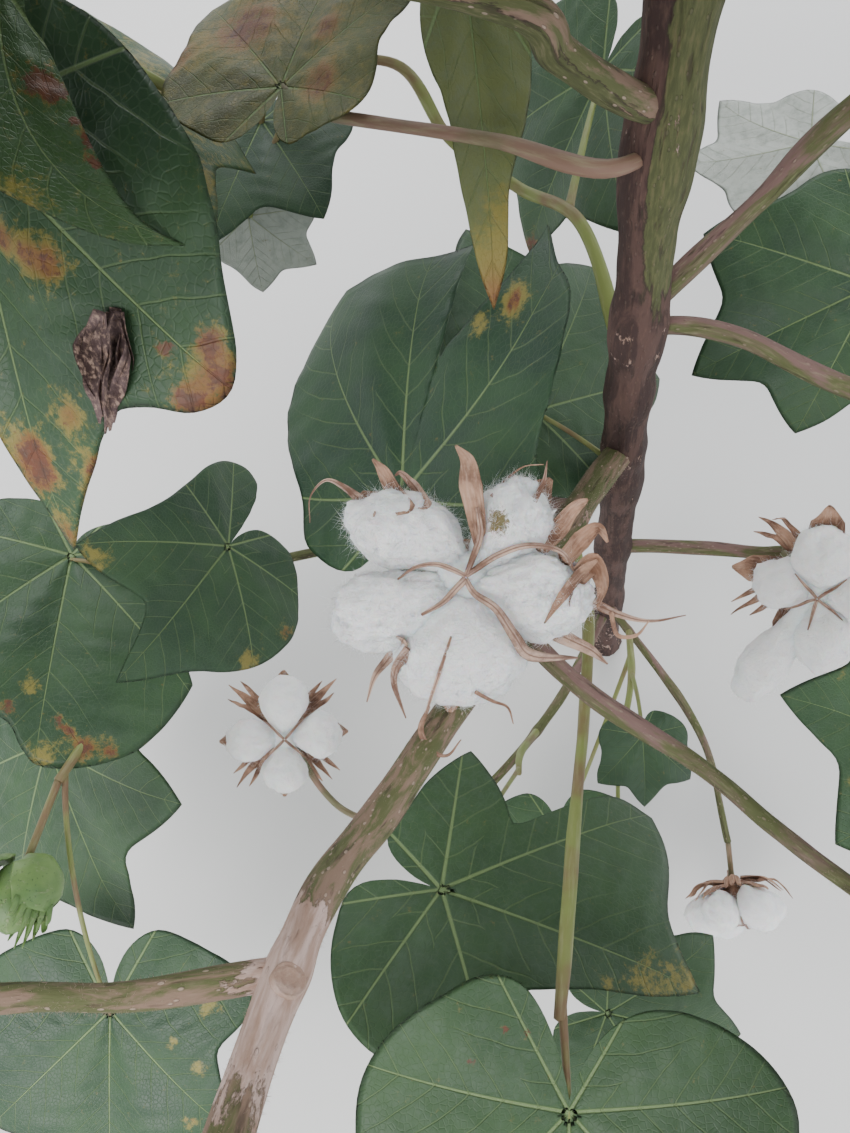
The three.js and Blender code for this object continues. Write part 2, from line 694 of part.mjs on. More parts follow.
// A cylinder bent along a line, with a radius that changes along it. Both ends reach further by extra,
// or the foot is cut level with the ground.
function tube(line, radiusAt, sides, count, extra = 0, flatFoot = false) {
  const rings = ringsOf(line, count);
  return bodyOf(
    reshaped(new THREE.CylinderGeometry(1, 1, 1, sides, count), (x, y, z) => {
      const share = y + 0.5;
      const ring = rings[Math.round(share * count)];
      const r = radiusAt(share) + extra;
      const end = share === 0 ? -extra : share === 1 ? extra : 0;
      const corner = ring.middle.clone().addScaledVector(ring.right, r * x).addScaledVector(ring.out, r * z);
      return share === 0 && flatFoot ? corner.setZ(0) : corner.addScaledVector(ring.way, end);
    }),
  );
}

function limbBody(name, extra = 0) {
  const { line, legs } = lines[name];
  const main = name === "main_stem";
  const inMass = masses.includes(lines[name]);
  const sides = main ? STEM_SIDES : inMass ? TWIG_SIDES : BRANCH_SIDES;
  const rings = main ? STEM_RINGS : legs.length * RINGS_A_LEG;
  return tube(line, (share) => limbRadius(name, share, line.length), sides, rings, extra, main);
}

// A blade with a sharp rim: a flat ball of two fans, whose equator becomes the leaf's outline.
function leafBody(leaf) {
  const rim = leafRim().map(([share, angle]) => bladePoint(leaf, share, angle));
  const heart = bladePoint(leaf, LEAF_HEART, 0);
  const half = (leaf.length * LEAF_THICKNESS) / 2;
  return bodyOf(
    reshaped(new THREE.SphereGeometry(1, rim.length, 2), (x, y, z) => {
      if (Math.abs(y) > 0.5) return heart.clone().addScaledVector(leaf.frame.up, Math.sign(y) * half);
      const i = Math.round((Math.atan2(z, x) / (2 * Math.PI)) * rim.length);
      return rim[(rim.length - i) % rim.length].clone();
    }),
  );
}

// A stalk, from within the stem to within the blade.
function stalkBody(leaf, mass) {
  const line = measured(leaf.stalk.points.concat([bladePoint(leaf, STALK_SUNK, 0)]));
  const stem = limbRadius(mass.name, Math.min(leaf.at / mass.line.length, 1), mass.line.length);
  const foot = Math.min(STALK_RADIUS[0], STALK_SHARE * stem);
  return tube(line, (share) => lerp(foot, STALK_RADIUS[1], share), STALK_SIDES, leaf.name ? 2 : 1);
}

// An egg shape, long along one direction.
function egg(centre, long, wide, deep, sizes, detail) {
  return bodyOf(
    reshaped(new THREE.IcosahedronGeometry(1, detail), (x, y, z) =>
      centre
        .clone()
        .addScaledVector(long, x * sizes[0])
        .addScaledVector(wide, y * sizes[1])
        .addScaledVector(deep, z * sizes[2]),
    ),
  );
}

// A shallow cup with a pointed rim, from its back point out to a ring of
// [clock angle, radius, place forward].
function starCup(back, centre, face, frame, rim) {
  return bodyOf(
    reshaped(new THREE.ConeGeometry(1, 1, rim.length), (x, y, z) => {
      if (y > 0) return back.clone();
      if (x * x + z * z < 0.5) return centre.clone();
      const i = Math.round((Math.atan2(z, x) / (2 * Math.PI)) * rim.length);
      const [angle, radius, forward] = rim[(i + rim.length) % rim.length];
      return centre.clone().addScaledVector(around(frame, angle), radius).addScaledVector(face, forward);
    }),
  );
}

// A ball flattened along its face, with a few lobes round it.
function lobedBall(centre, face, frame, lobes, size) {
  return bodyOf(
    reshaped(new THREE.SphereGeometry(1, lobes * 2, 4), (x, y, z) => {
      const meridian = Math.round((Math.atan2(z, x) / Math.PI) * lobes);
      const r = size * (meridian % 2 ? LOBE_PINCH : 1);
      return centre
        .clone()
        .addScaledVector(frame.right, x * r)
        .addScaledVector(face, y * size * LOBE_DEPTH)
        .addScaledVector(frame.up, -z * r);
    }),
  );
}

// Directions round a boll's face: right and up as seen from in front of it.
function faceFrame(face, roll) {
  const right = new THREE.Vector3(0, 0, 1).cross(face).normalize();
  const up = face.clone().cross(right);
  const cos = Math.cos(rad(roll));
  const sin = Math.sin(rad(roll));
  return {
    right: right.clone().multiplyScalar(cos).addScaledVector(up, sin),
    up: up.clone().multiplyScalar(cos).addScaledVector(right, -sin),
  };
}

function around(frame, degrees) {
  const way = frame.right.clone().multiplyScalar(Math.cos(rad(degrees)));
  return way.addScaledVector(frame.up, Math.sin(rad(degrees)));
}

function lintBody(row, extra) {
  const face = heading(...row.face);
  const frame = faceFrame(face, row.roll);
  const centre = vec(row.centre);
  const core = LINT_CORE.map((half) => half + extra);
  const bodies = [egg(centre.clone(), frame.right, frame.up, face, core, 0)];
  for (const [angle, out, long, wide, deep, lean = 0] of row.locks) {
    const middle = centre.clone().addScaledVector(around(frame, angle), out);
    const way = around(frame, angle + lean);
    const across = face.clone().cross(way);
    bodies.push(egg(middle, way, across, face, [long + extra, wide + extra, deep + extra], row.detail));
  }
  return joined(bodies);
}

// The dry bur behind the lint: a cup on its stalk, with a valve behind each lock and a bract between them.
function burBody(row) {
  const face = heading(...row.face);
  const frame = faceFrame(face, row.roll);
  const centre = vec(row.centre);
  const cup = centre.clone().addScaledVector(face, -BUR_DEPTH);
  const angles = row.locks.map(([angle]) => angle).sort((a, b) => a - b);
  const rim = angles.flatMap((angle, k) => {
    const gap = (angles[k + 1] ?? angles[0] + 360) - angle;
    return BUR_RIM.map(([turned, radius, forward]) => [angle + turned * gap, radius * row.bur, forward]);
  });
  const bodies = [starCup(cup, centre, face, frame, rim)];
  const ends = endsOf(placeOn(lines[row.on].line, row.at ?? Infinity).point, row.via ?? []);
  ends.push(centre.clone().addScaledVector(face, -BUR_ROOT));
  bodies.push(tube(smoothLine(ends), () => row.stalk, TWIG_SIDES, ends.length));
  return joined(bodies);
}

// The three bracts under a small boll: spread when it is open, wrapped forward when it is closed.
function bractRim(boll) {
  const rim = [];
  for (let k = 0; k < BRACTS; k++) {
    const angle = (360 / BRACTS) * k;
    const state = boll.open ? "open" : "closed";
    rim.push([angle, boll.size * BRACT_TIP.radius, boll.size * BRACT_TIP[state]]);
    rim.push([angle + 180 / BRACTS, boll.size * BRACT_NOTCH.radius, boll.size * BRACT_NOTCH[state]]);
  }
  return rim;
}

// A small boll of a mass on its own stalk: open with four lobes of lint, or closed, green and egg-shaped.
function smallBoll(boll) {
  const frame = faceFrame(boll.face, boll.spin);
  const back = boll.centre.clone().addScaledVector(boll.face, -boll.size * CUP_BACK);
  const stalk = stalkLine(boll.start, boll.centre, SMALL_BOLL.bow);
  const bodies = [tube(stalk, () => SMALL_BOLL.stalk, STALK_SIDES, 2)];
  bodies.push(starCup(back, boll.centre, boll.face, frame, bractRim(boll)));
  const sizes = EGG.map((half) => half * boll.size);
  bodies.push(
    boll.open
      ? lobedBall(boll.centre, boll.face, frame, LOBES, boll.size)
      : egg(boll.centre, frame.right, frame.up, boll.face, sizes, 0),
  );
  return bodies;
}

const plant = new THREE.Group();

// Adds a named mesh of the body. Crumbs that the cuts left beside it are dropped.
function addNode(name, body, colour, roughness) {
  const pieces = body.decompose().sort((a, b) => b.volume() - a.volume());
  const mesh = pieces[0].simplify(SMALLEST_EDGE).getMesh();
  const geometry = new THREE.BufferGeometry();
  geometry.setAttribute("position", new THREE.BufferAttribute(mesh.vertProperties, 3));
  geometry.setIndex(new THREE.BufferAttribute(mesh.triVerts, 1));
  const material = new THREE.MeshStandardMaterial({ color: colour, roughness, metalness: 0 });
  const node = new THREE.Mesh(geometry, material);
  node.name = name;
  plant.add(node);
}

// A body with every limb near its foot cut away, with the gap between them.
function cutClear(body, names) {
  return names.reduce((rest, name) => rest.subtract(limbBody(name, GAP)), body);
}

for (const [name, row] of Object.entries(LIMBS)) {
  const near = (row.on ? [row.on] : []).concat(CROWDED[name] ?? []);
  addNode(name, cutClear(limbBody(name), near), row.colour, ROUGHNESS.bark);
}

for (const mass of masses) {
  const bodies = [limbBody(mass.name)];
  for (const leaf of mass.leaves) bodies.push(leafBody(leaf), stalkBody(leaf, mass));
  for (const boll of mass.small) bodies.push(...smallBoll(boll));
  const near = [mass.on].concat(CROWDED[mass.name] ?? []);
  const body = cutClear(joined(bodies).simplify(SMOOTHING), near);
  addNode(mass.name, body, mass.colour ?? LEAF_GREEN, ROUGHNESS.leaf);
}

for (const [name, row] of Object.entries(OPEN_BOLLS)) {
  addNode(`${name}_lint`, lintBody(row, 0), LINT_WHITE, ROUGHNESS.lint);
  const bur = burBody(row).subtract(lintBody(row, GAP));
  addNode(`${name}_bur`, cutClear(bur, [row.on]), BUR_TAN, ROUGHNESS.bur);
}

function greenBollBody() {
  const { centre, point, size, stalk, on } = GREEN_BOLL;
  const face = heading(...point);
  const middle = vec(centre);
  const start = placeOn(lines[on].line, Infinity).point;
  const back = middle.clone().addScaledVector(face, -size * GREEN_CUP_BACK);
  const bodies = [tube(stalkLine(start, back, 0), () => stalk, BRANCH_SIDES, 2)];
  const frame = faceFrame(face, 0);
  bodies.push(egg(middle, frame.right, frame.up, face, GREEN_EGG.map((half) => half * size), 1));
  bodies.push(starCup(back, middle, face, frame, bractRim({ size, open: false })));
  return joined(bodies);
}

addNode("green_boll", cutClear(greenBollBody(), [GREEN_BOLL.on]), UNRIPE_GREEN, ROUGHNESS.unripe);

export default plant;
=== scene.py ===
"""Dresses the cotton plant: bark, twigs, leaves, open bolls and the dry parts of a plant late in its season.

The plan of the plant is in millimetres, +Z up, and each mesh is made in metres from it.
A direction is a bearing in degrees from +X towards +Y, and a rise in degrees over the horizontal.
"""

import copy
import math

import bpy
import numpy as np
from mathutils import Matrix, Vector


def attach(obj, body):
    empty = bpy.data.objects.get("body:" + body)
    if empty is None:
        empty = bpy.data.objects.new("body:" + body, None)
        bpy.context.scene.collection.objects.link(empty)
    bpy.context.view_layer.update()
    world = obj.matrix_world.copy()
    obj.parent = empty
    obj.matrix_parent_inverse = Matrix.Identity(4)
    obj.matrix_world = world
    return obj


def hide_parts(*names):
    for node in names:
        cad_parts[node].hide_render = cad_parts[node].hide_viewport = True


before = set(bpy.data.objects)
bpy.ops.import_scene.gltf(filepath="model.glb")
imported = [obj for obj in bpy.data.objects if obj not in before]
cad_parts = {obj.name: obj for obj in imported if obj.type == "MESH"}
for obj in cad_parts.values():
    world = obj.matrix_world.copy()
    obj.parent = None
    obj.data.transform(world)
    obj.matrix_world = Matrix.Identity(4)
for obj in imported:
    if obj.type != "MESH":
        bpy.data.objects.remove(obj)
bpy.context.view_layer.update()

bl_info = {
    "name": "Cotton plant",
    "version": (1, 0, 0),
    "blender": (4, 5, 0),
    "location": "3D View > Sidebar > Cotton",
    "description": "Grows the bark, twigs, leaves, open bolls and dry parts of a cotton plant",
    "category": "Object",
}

MM = 0.001
CURVE_STEPS = 8
FINE_STEPS = 32

def stem(on, radius, legs, **rest):
    """A limb or the stem of a mass: what it grows on, its radius at foot and tip, and its legs of
    (length, bearing, rise). The rest may say at which distance along the other it starts."""
    return dict(on=on, radius=radius, legs=legs, **rest)


LIMBS = {
    "main_stem": dict(
        legs=[(193, 180, 85), (272, 180, 85.3), (120, 150, 87), (360, 185, 88.5), (290, 175, 89)],
        radius=(10.3, 2.8), bark="purple"),
    "front_branch": stem(
        "main_stem", (7.4, 4.9), [(64, -133, 20), (76, -130, 21), (90, -129, 30), (50, -128, 44),
        (36, -114, 50), (40, -111, 36), (62, -106, 40)], at=352, bark="hairy"),
    "boll_branch": stem(
        "front_branch", (4.2, 2.6), [(47, -62, 17), (49, -49, 6), (34, -54, 1), (28, -52, -1),
        (40, -50, 8)], at=134, bark="green"),
    "left_side_branch": stem(
        "front_branch", (3.7, 2.9), [(38, 177, 12), (30, 170, 4), (60, 172, 8)], at=316, bark="hairy"),
    "upper_left_branch": stem(
        "main_stem", (5.2, 3.6), [(24, -159, 37), (27, -174, 43), (24, -176, 48), (90, 178, 20),
        (70, 172, 5)], at=550, bark="hairy"),
    "right_upper_branch": stem(
        "main_stem", (4.5, 3.2), [(17, 14, 41), (42, 8, 48), (38, 0, 56), (90, -5, 48), (70, -8, 35)],
        at=457, bark="green"),
    "right_lower_branch": stem(
        "main_stem", (4.2, 3), [(15, -15, 38), (28, -33, 8), (45, -50, 5), (80, -48, 10), (60, -40, 15)],
        at=441, bark="green"),
    "low_right_branch": stem(
        "main_stem", (4.4, 3), [(54, -21, 13), (47, -25, 17), (60, -15, 10), (60, 20, 14)], at=219,
        bark="green"),
    "low_front_branch": stem(
        "main_stem", (3.6, 2.2), [(12, -100, 30), (107, -70, -5), (79, -91, -8)], at=118, bark="green"),
    "low_left_branch": stem(
        "main_stem", (4.2, 2.4), [(102, -130, 17), (92, -142, 14), (45, -162, 10)], at=95, bark="green"),
    "left_branch": stem(
        "main_stem", (4.6, 3), [(70, 176, -10), (75, 174, -10), (58, 176, -10)], at=304, bark="green"),
    "back_branch": stem(
        "main_stem", (4.6, 3.2), [(60, 62, 36), (80, 70, 26), (80, 84, 22)], at=522, bark="hairy"),
    "back_right_branch": stem(
        "main_stem", (4.2, 2.9), [(50, 22, 34), (80, 36, 20), (70, 30, 12)], at=592, bark="hairy"),
}


def shown(joint, length, head, roll, at, bow, **shape):
    """A leaf that shows: its joint with the stalk, its length, the heading of its midrib, the roll about it,
    the place on the stem that its stalk leaves, and how far the stalk bows up.

    Its shape may say how wide each side is and how it sweeps back, how wide the base is and how the blade
    curls aside. Tone is how pale it is: 0 is deep green, over 1 is dusty above, and from 1.6 silvery below.
    Wash is the yellowing and browning all over it.
    """
    return dict(joint=joint, length=length, head=head, roll=roll, at=at, bow=bow, **shape)


SHOWN = {
    "left_tip_leaf": shown(
        (-225, 55, 592), 90, (-76, -20), -4, 20, 0.1, tone=1.5, wash=(0.08, 0), curl=12, wide=(0.4, 0.9)),
    "left_pale_leaf": shown((-246, 123, 528), 100, (-54, -15), 41, 360, 0.1, tone=1.1, wash=(0.32, 0)),
    "left_spotted_leaf": shown(
        (-254, 45, 560), 136, (-100, -35), -14, 46, 0.15, tone=0.5, wash=(0.06, 0), wide=(0.9, 1)),
    "left_low_leaf": shown((-242, -3, 338), 89, (-119, 25), 47, 8, 0.2, tone=0.3),
    "left_edge_leaf": shown((-348, 38, 289), 124, (-97, 10), 22, 62, 0.2, tone=0.5),
    "left_dark_leaf": shown((-408, -46, 201), 130, (-76, -4), -34, 112, -0.2),
    "left_front_leaf": shown((-367, -211, 218), 99, (-102, -16), 2, 176, 0.2, tone=0.3, base=1.3),
    "boll_leaf": shown((-147, -14, 374), 141, (64, 19), 30, 12, 0.1, tone=0.05, sweep=(0.2, 0.45)),
    "hanging_leaf": shown(
        (-84, 110, 541), 130, (-91, -23), 12, 14, 0.2, tone=1.3, wash=(0.12, 0), wide=(0.38, 0.38)),
    "dying_leaf": shown(
        (-158, 82, 522), 76, (64, 6), 10, 138, 0.1, tone=0.1, wash=(0.36, 0.14), wide=(1, 0.75)),
    "left_shade_leaf": shown((-175, 158, 451), 70, (-119, -2), 0, 280, 0.1, tone=0.2),
    "right_pale_leaf": shown((115, 148, 375), 68, (-193, -15), 178, 104, 0.2, tone=1.8),
    "right_dark_leaf": shown((120, 57, 361), 100, (-174, -17), 18, 58, 0.2, tone=0.3, wide=(0.8, 1)),
    "right_front_leaf": shown((17, -190, 444), 63, (148, 13), -9, 12, 0.1, wash=(0.08, 0)),
    "front_leaf": shown((-167, -189, 312), 130, (-27, -5), 24, 66, 0.1, tone=0.8),
    "long_stalk_leaf": shown((-133, -275, 371), 106, (-104, -16), 3, 212, 0.05, tone=1.0, base=1.1),
    "front_under_leaf": shown((-99, -261, 235), 73, (-23, -6), -22, 112, 0.2),
    "front_low_leaf": shown((-90, -164, 102), 97, (-98, -9), -1, 30, 0.2),
    "front_small_leaf": shown((-32, -120, 196), 44, (-100, -12), 12, 52, 0.2),
    "stem_leaf": shown((-68, 39, 338), 116, (54, 0), -33, 14, 0.1, tone=0.5, wide=(1, 0.85)),
    "behind_leaf": shown((10, 204, 402), 102, (-141, -42), -22, 96, 0.1, tone=0.6),
    "silver_leaf": shown((-192, 126, 427), 39, (-35, -37), 164, 262, 0.1, tone=1.7),
}
YELLOW_LEAVES = ("hanging_leaf", "dying_leaf")

# Marks on the blades that show: (distance along, degrees from the midrib, size, yellowing, browning),
# all but the degrees in percent.
MARKS = {
    "left_tip_leaf": [(36, -8, 5, 50, 110), (42, -4, 3.5, 50, 110), (52, -6, 2.2, 40, 90),
        (60, -8, 2.8, 40, 110), (66, -12, 2.5, 30, 90), (70, -38, 8, 70, 0), (50, -54, 7, 60, 0)],
    "left_pale_leaf": [(74, 10, 3, 100, 80), (74, 10, 6, 90, 0), (30, 60, 20, 45, 0)],
    "left_spotted_leaf": [(38, 32, 4, 90, 60), (33, 26, 3, 90, 50), (27, 18, 3, 90, 60),
        (68, 14, 4, 90, 40), (79, 1, 5, 100, 100), (74, 1, 3.5, 80, 90), (84, 15, 5, 100, 90),
        (90, 10, 3, 80, 100), (71, 42, 2.2, 60, 90), (82, 38, 4, 90, 100), (84, 44, 4.5, 90, 90),
        (78, 48, 3, 80, 100), (72, -9, 5, 80, 50), (96, 2, 3.5, 90, 50)],
    "left_low_leaf": [(71, 45, 6, 90, 0), (62, 72, 4, 80, 60), (84, -38, 7, 80, 0)],
    "left_edge_leaf": [(82, 5, 2.4, 80, 110), (95, 12, 4, 100, 100), (98, 18, 3, 90, 90),
        (79, -10, 2.6, 80, 100), (68, -5, 3, 90, 0), (88, 8, 2.2, 90, 110), (96, 2, 5, 80, 0)],
    "left_front_leaf": [(47, 95, 3.5, 90, 0), (60, 62, 3.5, 80, 0), (42, 70, 2.5, 80, 0),
        (75, 40, 3.5, 70, 30)],
    "boll_leaf": [(74, -30, 2.7, 90, 110), (74, -30, 5, 90, 0), (62, -20, 3.5, 70, 0)],
    "hanging_leaf": [(85, -3, 9, 60, 15), (95, -4, 6, 60, 45), (72, 1, 5, 50, 10)],
    "dying_leaf": [(50, 40, 16, 40, 60), (80, -20, 16, 30, 60), (30, -90, 10, 40, 50), (70, 75, 10, 40, 50),
        (40, -30, 8, 40, 50)],
    "front_leaf": [(79, -5, 6, 70, 0), (93, 0, 5.5, 70, 0), (66, -14, 4.5, 60, 0)],
    "long_stalk_leaf": [(35, -140, 1.4, 40, 100), (38, -115, 1.6, 30, 90), (30, -150, 1.2, 30, 90)],
    "right_front_leaf": [(45, 20, 3, 70, 0), (60, -30, 3.5, 60, 0), (70, 30, 3, 60, 0)],
    "behind_leaf": [(95, 0, 4.5, 80, 90)],
}
# The outlines of the leaves that show best: how far the blade curls aside, the angles of its three longest
# veins, and stops from the right side of its base round to the left, (percent of the length, angle),
# with a 1 where the outline comes to a point.
OUTLINES = {
    "left_tip_leaf": (34, (-62, -21, 8), [(20, -150), (36, -120), (44, -95), (52, -75), (58, -56),
        (68, -39), (77, -32), (88, -27), (98, -22, 1), (85, -19), (69, -12), (46, -1), (27, 8), (14, 14),
        (10, 60), (7, 120)]),
    "left_spotted_leaf": (0, (-40, 2, 44), [(8, -150), (14, -73), (31, -49), (47, -21), (66, -8), (84, -2),
        (101, 2, 1), (90, 7), (81, 14), (75, 21), (73, 26), (77, 32), (84, 37), (87, 43), (84, 49),
        (77, 57), (66, 74), (53, 90), (40, 115), (25, 150)]),
    "left_low_leaf": (0, (-44, 0, 48), [(45, -174), (58, -164), (57, -146), (50, -126), (44, -104),
        (46, -80), (56, -63), (74, -52), (91, -44, 1), (82, -32), (72, -20), (70, -13), (82, -6),
        (105, 0, 1), (88, 12), (80, 22), (76, 38), (73, 53), (68, 70), (62, 85), (52, 107), (41, 137),
        (28, 160)]),
    "left_edge_leaf": (0, (-40, 0, 44), [(25, -165), (41, -129), (50, -100), (55, -77), (67, -51),
        (81, -28), (84, -10), (93, -4), (100, 1), (103, 11), (102, 22), (97, 32), (88, 46, 1), (62, 54),
        (45, 66), (36, 90), (30, 130)]),
    "boll_leaf": (0, (-40, 14, 50), [(30, -165), (52, -148), (58, -132), (61, -112), (59, -98), (57, -84),
        (64, -72), (73, -61), (86, -50), (92, -38), (103, -29, 1), (86, -25), (72, -20), (60, -13),
        (52, -7), (48, -4), (56, -3), (75, -2), (93, 0, 1), (92, 8), (93, 18), (97, 34), (99, 46, 1),
        (90, 56), (80, 65), (60, 84), (46, 103), (42, 130), (30, 160)]),
    "hanging_leaf": (0, (-30, -4, 22), [(10, -140), (15, -90), (21, -50), (27, -38), (45, -19), (65, -12),
        (87, -7), (98, -4, 1), (85, -1), (65, 2), (48, 12), (34, 24), (23, 34), (16, 70), (12, 130)]),
    "front_leaf": (0, (-62, -2, 39), [(30, -165), (41, -141), (57, -109), (62, -86), (60, -66), (45, -46),
        (46, -34), (60, -18), (80, -9), (98, -2, 1), (89, 6), (86, 14), (93, 27), (96, 38, 1), (85, 46),
        (62, 50), (42, 54), (38, 60), (48, 78), (59, 92, 1), (46, 106), (33, 126), (26, 155)]),
    "long_stalk_leaf": (0, (-47, 0, 47), [(12, -172), (42, -160), (53, -147), (60, -128), (73, -97),
        (76, -76), (86, -60), (97, -47, 1), (84, -33), (79, -23), (84, -12), (100, 0, 1), (84, 12),
        (79, 23), (84, 33), (97, 47, 1), (86, 60), (76, 76), (77, 95), (62, 120), (48, 139), (34, 152),
        (12, 168)]),
}
# The left half of the outline of every other leaf, from the tip to the base.
HALF_OUTLINE = [
    (100, 0, 1), (90.5, 7), (82, 14), (77, 20), (76.5, 25), (80, 31), (86.5, 39), (94, 47, 1), (85, 55),
    (75, 62), (69, 69), (66.5, 76), (67, 85), (66.5, 94), (63, 103), (56, 114), (49, 126), (44, 138),
    (38, 152), (25, 166)]

# Masses of leaves: a stem, the leaves that show on it, and what the seeded rule needs: the space between
# leaves, the leaf lengths, and how many nodes there are from one boll to the next.
MASSES = {
    "boll_leaf": stem("front_branch", (2.2, 1.9), [(16, 160, -15)], at=96, shown=["boll_leaf"]),
    "long_stalk_leaf": stem(
        "front_branch", (2.8, 2.6), [(34, -88, -38), (26, -98, -12), (98, -110, 9), (61, -110, 8)], at=66,
        shown=["long_stalk_leaf"]),
    "stem_leaf": stem("main_stem", (2.3, 2.1), [(16, 130, 24)], at=322, shown=["stem_leaf"]),
    "hanging_leaf": stem("main_stem", (2.4, 2.1), [(20, 112, 6)], at=612, shown=["hanging_leaf"]),
    "dying_leaf": stem(
        "main_stem", (2.7, 2.1), [(25, -157, 14), (38, 133, -10), (39, 138, -12), (34, 139, -11),
        (12, 138, 8)], at=536, shown=["dying_leaf"]),
    "back_left_leaves": stem(
        "main_stem", (3.4, 2.1), [(80, 92, 17), (52, 113, -14), (44, 135, 17), (45, 153, 56),
        (65, -170, 15), (45, -126, 25), (37, -158, 50)], at=402,
        shown=["behind_leaf", "silver_leaf", "left_shade_leaf", "left_pale_leaf"]),
    "upper_left_leaves": stem(
        "upper_left_branch", (3.3, 2.2), [(55, 160, 8), (55, 190, 5), (50, 170, 10)],
        shown=["left_tip_leaf", "left_spotted_leaf"], space=40, leaf=(92, 118), bolls=3),
    "left_leaves": stem(
        "left_branch", (2.8, 2.2), [(49, -160, 2), (80, -137, 8), (52, -122, 18)],
        shown=["left_low_leaf", "left_edge_leaf", "left_dark_leaf", "left_front_leaf"], space=52,
        leaf=(90, 118)),
    "left_side_leaves": stem(
        "left_side_branch", (2.8, 1.9), [(55, 165, 20), (55, 188, 15), (50, 168, 10)], space=38,
        leaf=(86, 112), bolls=3),
    "front_branch_leaves": stem(
        "front_branch", (4.6, 2.2), [(60, -100, 46), (60, -84, 52), (60, -98, 42)], space=36,
        leaf=(88, 116), bolls=3),
    "boll_branch_leaves": stem(
        "boll_branch", (2.5, 1.8), [(50, -45, 15), (50, -62, 20), (45, -48, 12)],
        shown=["right_front_leaf"], space=42, leaf=(84, 108), bolls=4),
    "right_upper_leaves": stem(
        "right_upper_branch", (3, 2), [(60, 5, 25), (60, -12, 30), (55, 6, 20)], space=38, leaf=(90, 120),
        bolls=3),
    "right_lower_leaves": stem(
        "right_lower_branch", (2.8, 1.9), [(55, -35, 20), (55, -20, 15), (55, -42, 20)], space=38,
        leaf=(92, 122), bolls=3),
    "low_right_leaves": stem(
        "low_right_branch", (2.8, 1.9), [(55, 70, 22), (55, 80, 18), (50, 50, 15)],
        shown=["right_dark_leaf", "right_pale_leaf"], space=50, leaf=(92, 118), bolls=4),
    "low_front_leaves": stem(
        "low_front_branch", (2.6, 2), [(60, -110, 35), (60, -118, 12)], at=40,
        shown=["front_low_leaf", "front_small_leaf", "front_under_leaf"]),
    "front_low_leaves": stem(
        "low_left_branch", (2.6, 2), [(45, -132, 56), (26, -110, 50)], at=128, shown=["front_leaf"]),
    "back_leaves": stem(
        "back_branch", (3.1, 1.9), [(60, 74, 26), (60, 96, 20), (60, 80, 24)], space=34, leaf=(94, 122),
        bolls=3),
    "back_right_leaves": stem(
        "back_right_branch", (2.8, 1.8), [(60, 40, 18), (60, 20, 24), (55, 38, 18)], space=34,
        leaf=(94, 122), bolls=3),
}

# The fruiting branches of the upper stem follow one rule, from the lowest to the highest.
UPPER = dict(
    count=13, height=(632, 1192), turn=137.5, first=205, reach=(330, 92), rise=(26, 48), radius=(3.6, 1.7),
    leaf=((98, 124), (58, 74)), space=(48, 34), leg=52, zigzag=13)

# Open bolls: the middle of the lint, the way that it faces, and its locks of
# (clock angle, distance out, half length, half width, half depth, lean of the length from straight out).
OPEN_BOLLS = {
    "front_boll": dict(
        on="front_branch", at=128, centre=(-131, -97, 460), face=(-96, 68), roll=-6, stalk=3.2, bur=48,
        detail=5,
        locks=[(139, 26, 21, 14, 15, 30), (48, 27, 15, 13, 15, 30), (-12, 25, 20, 15, 15, 7),
               (-96, 26, 23, 18, 16, 90), (-158, 28, 21, 14, 15, -12)]),
    "left_boll": dict(
        on="low_left_branch", centre=(-256, -72, 190), face=(-70, 62), roll=20, stalk=2.2, bur=42, detail=4,
        via=[(41, 157, 2), (29, 133, 17)],
        locks=[(135, 22, 15, 14, 15, 0), (40, 22, 17, 15, 15, 0), (-50, 22, 15, 15, 15, 0),
               (-140, 22, 15, 15, 15, 0)]),
    "right_boll": dict(
        on="low_right_branch", at=100, centre=(62, -80, 292), face=(-130, 35), roll=10, stalk=2.4, bur=46,
        detail=4, via=[(24, -62, 50)],
        locks=[(100, 20, 18, 16, 15, 0), (10, 22, 18, 16, 15, 0), (-72, 26, 24, 15, 14, 0),
               (-104, 58, 28, 14, 13, 0), (-175, 18, 16, 14, 14, 0)]),
    "hanging_boll": dict(
        on="low_front_branch", centre=(21, -233, 84), face=(-96, 8), roll=0, stalk=1.9, bur=30, detail=4,
        locks=[(60, 15, 14, 13, 14, 0), (-30, 19, 18, 14, 14, 0), (-94, 32, 22, 13, 14, 0),
               (-150, 20, 18, 14, 14, 0), (150, 15, 14, 13, 14, 0)]),
}
GREEN_BOLL = dict(on="left_leaves", centre=(-377, -147, 297), point=(-100, 14), size=17, stalk=2)

# A pyramid of clear air on the front left, in which only the leaves that show hang.
CLEARING = dict(apex=(-143, -207, 737), down=67, roll=-12, half_width=0.515, half_height=0.685)

# The half outline by which a leaf is kept clear: the tips of its lobes and the bays between them,
# as (share of the length, degrees from the midrib).
LEAF_EDGE = [(1, 0), (0.76, 22), (0.93, 47), (0.68, 72), (0.6, 100), (0.44, 136), (0.04, 180)]
LEAF_HEART = 0.3
LEAF_BEND = 0.1
LEAF_FOLD = 9
MAIN_VEINS = (0, 47, 100, 150)
VEIN_BAYS = (22, 72, 124)
USUAL_VEINS = (-47, 0, 47)

# The room round the blades and the stalks, the tries at a place, the lowest point of a leaf, the share of
# bolls that are open, and the space between young leaves as a share of the space between leaves.
LEAF_BALL = 7.5
YOUNG_BALL = 0.5
STALK_RADIUS = (2.1, 1.4)
TRIES = 7
YOUNG_TRIES = 10
LOWEST = 24
RIPE = 0.75
YOUNG_SPACE = 0.3

# The columns and rows of a blade's mesh: a leaf that shows, a leaf of the crown and a young one.
FINE_BLADE = (150, 27)
PLAIN_BLADE = (66, 10)
SMALL_BLADE = (30, 5)

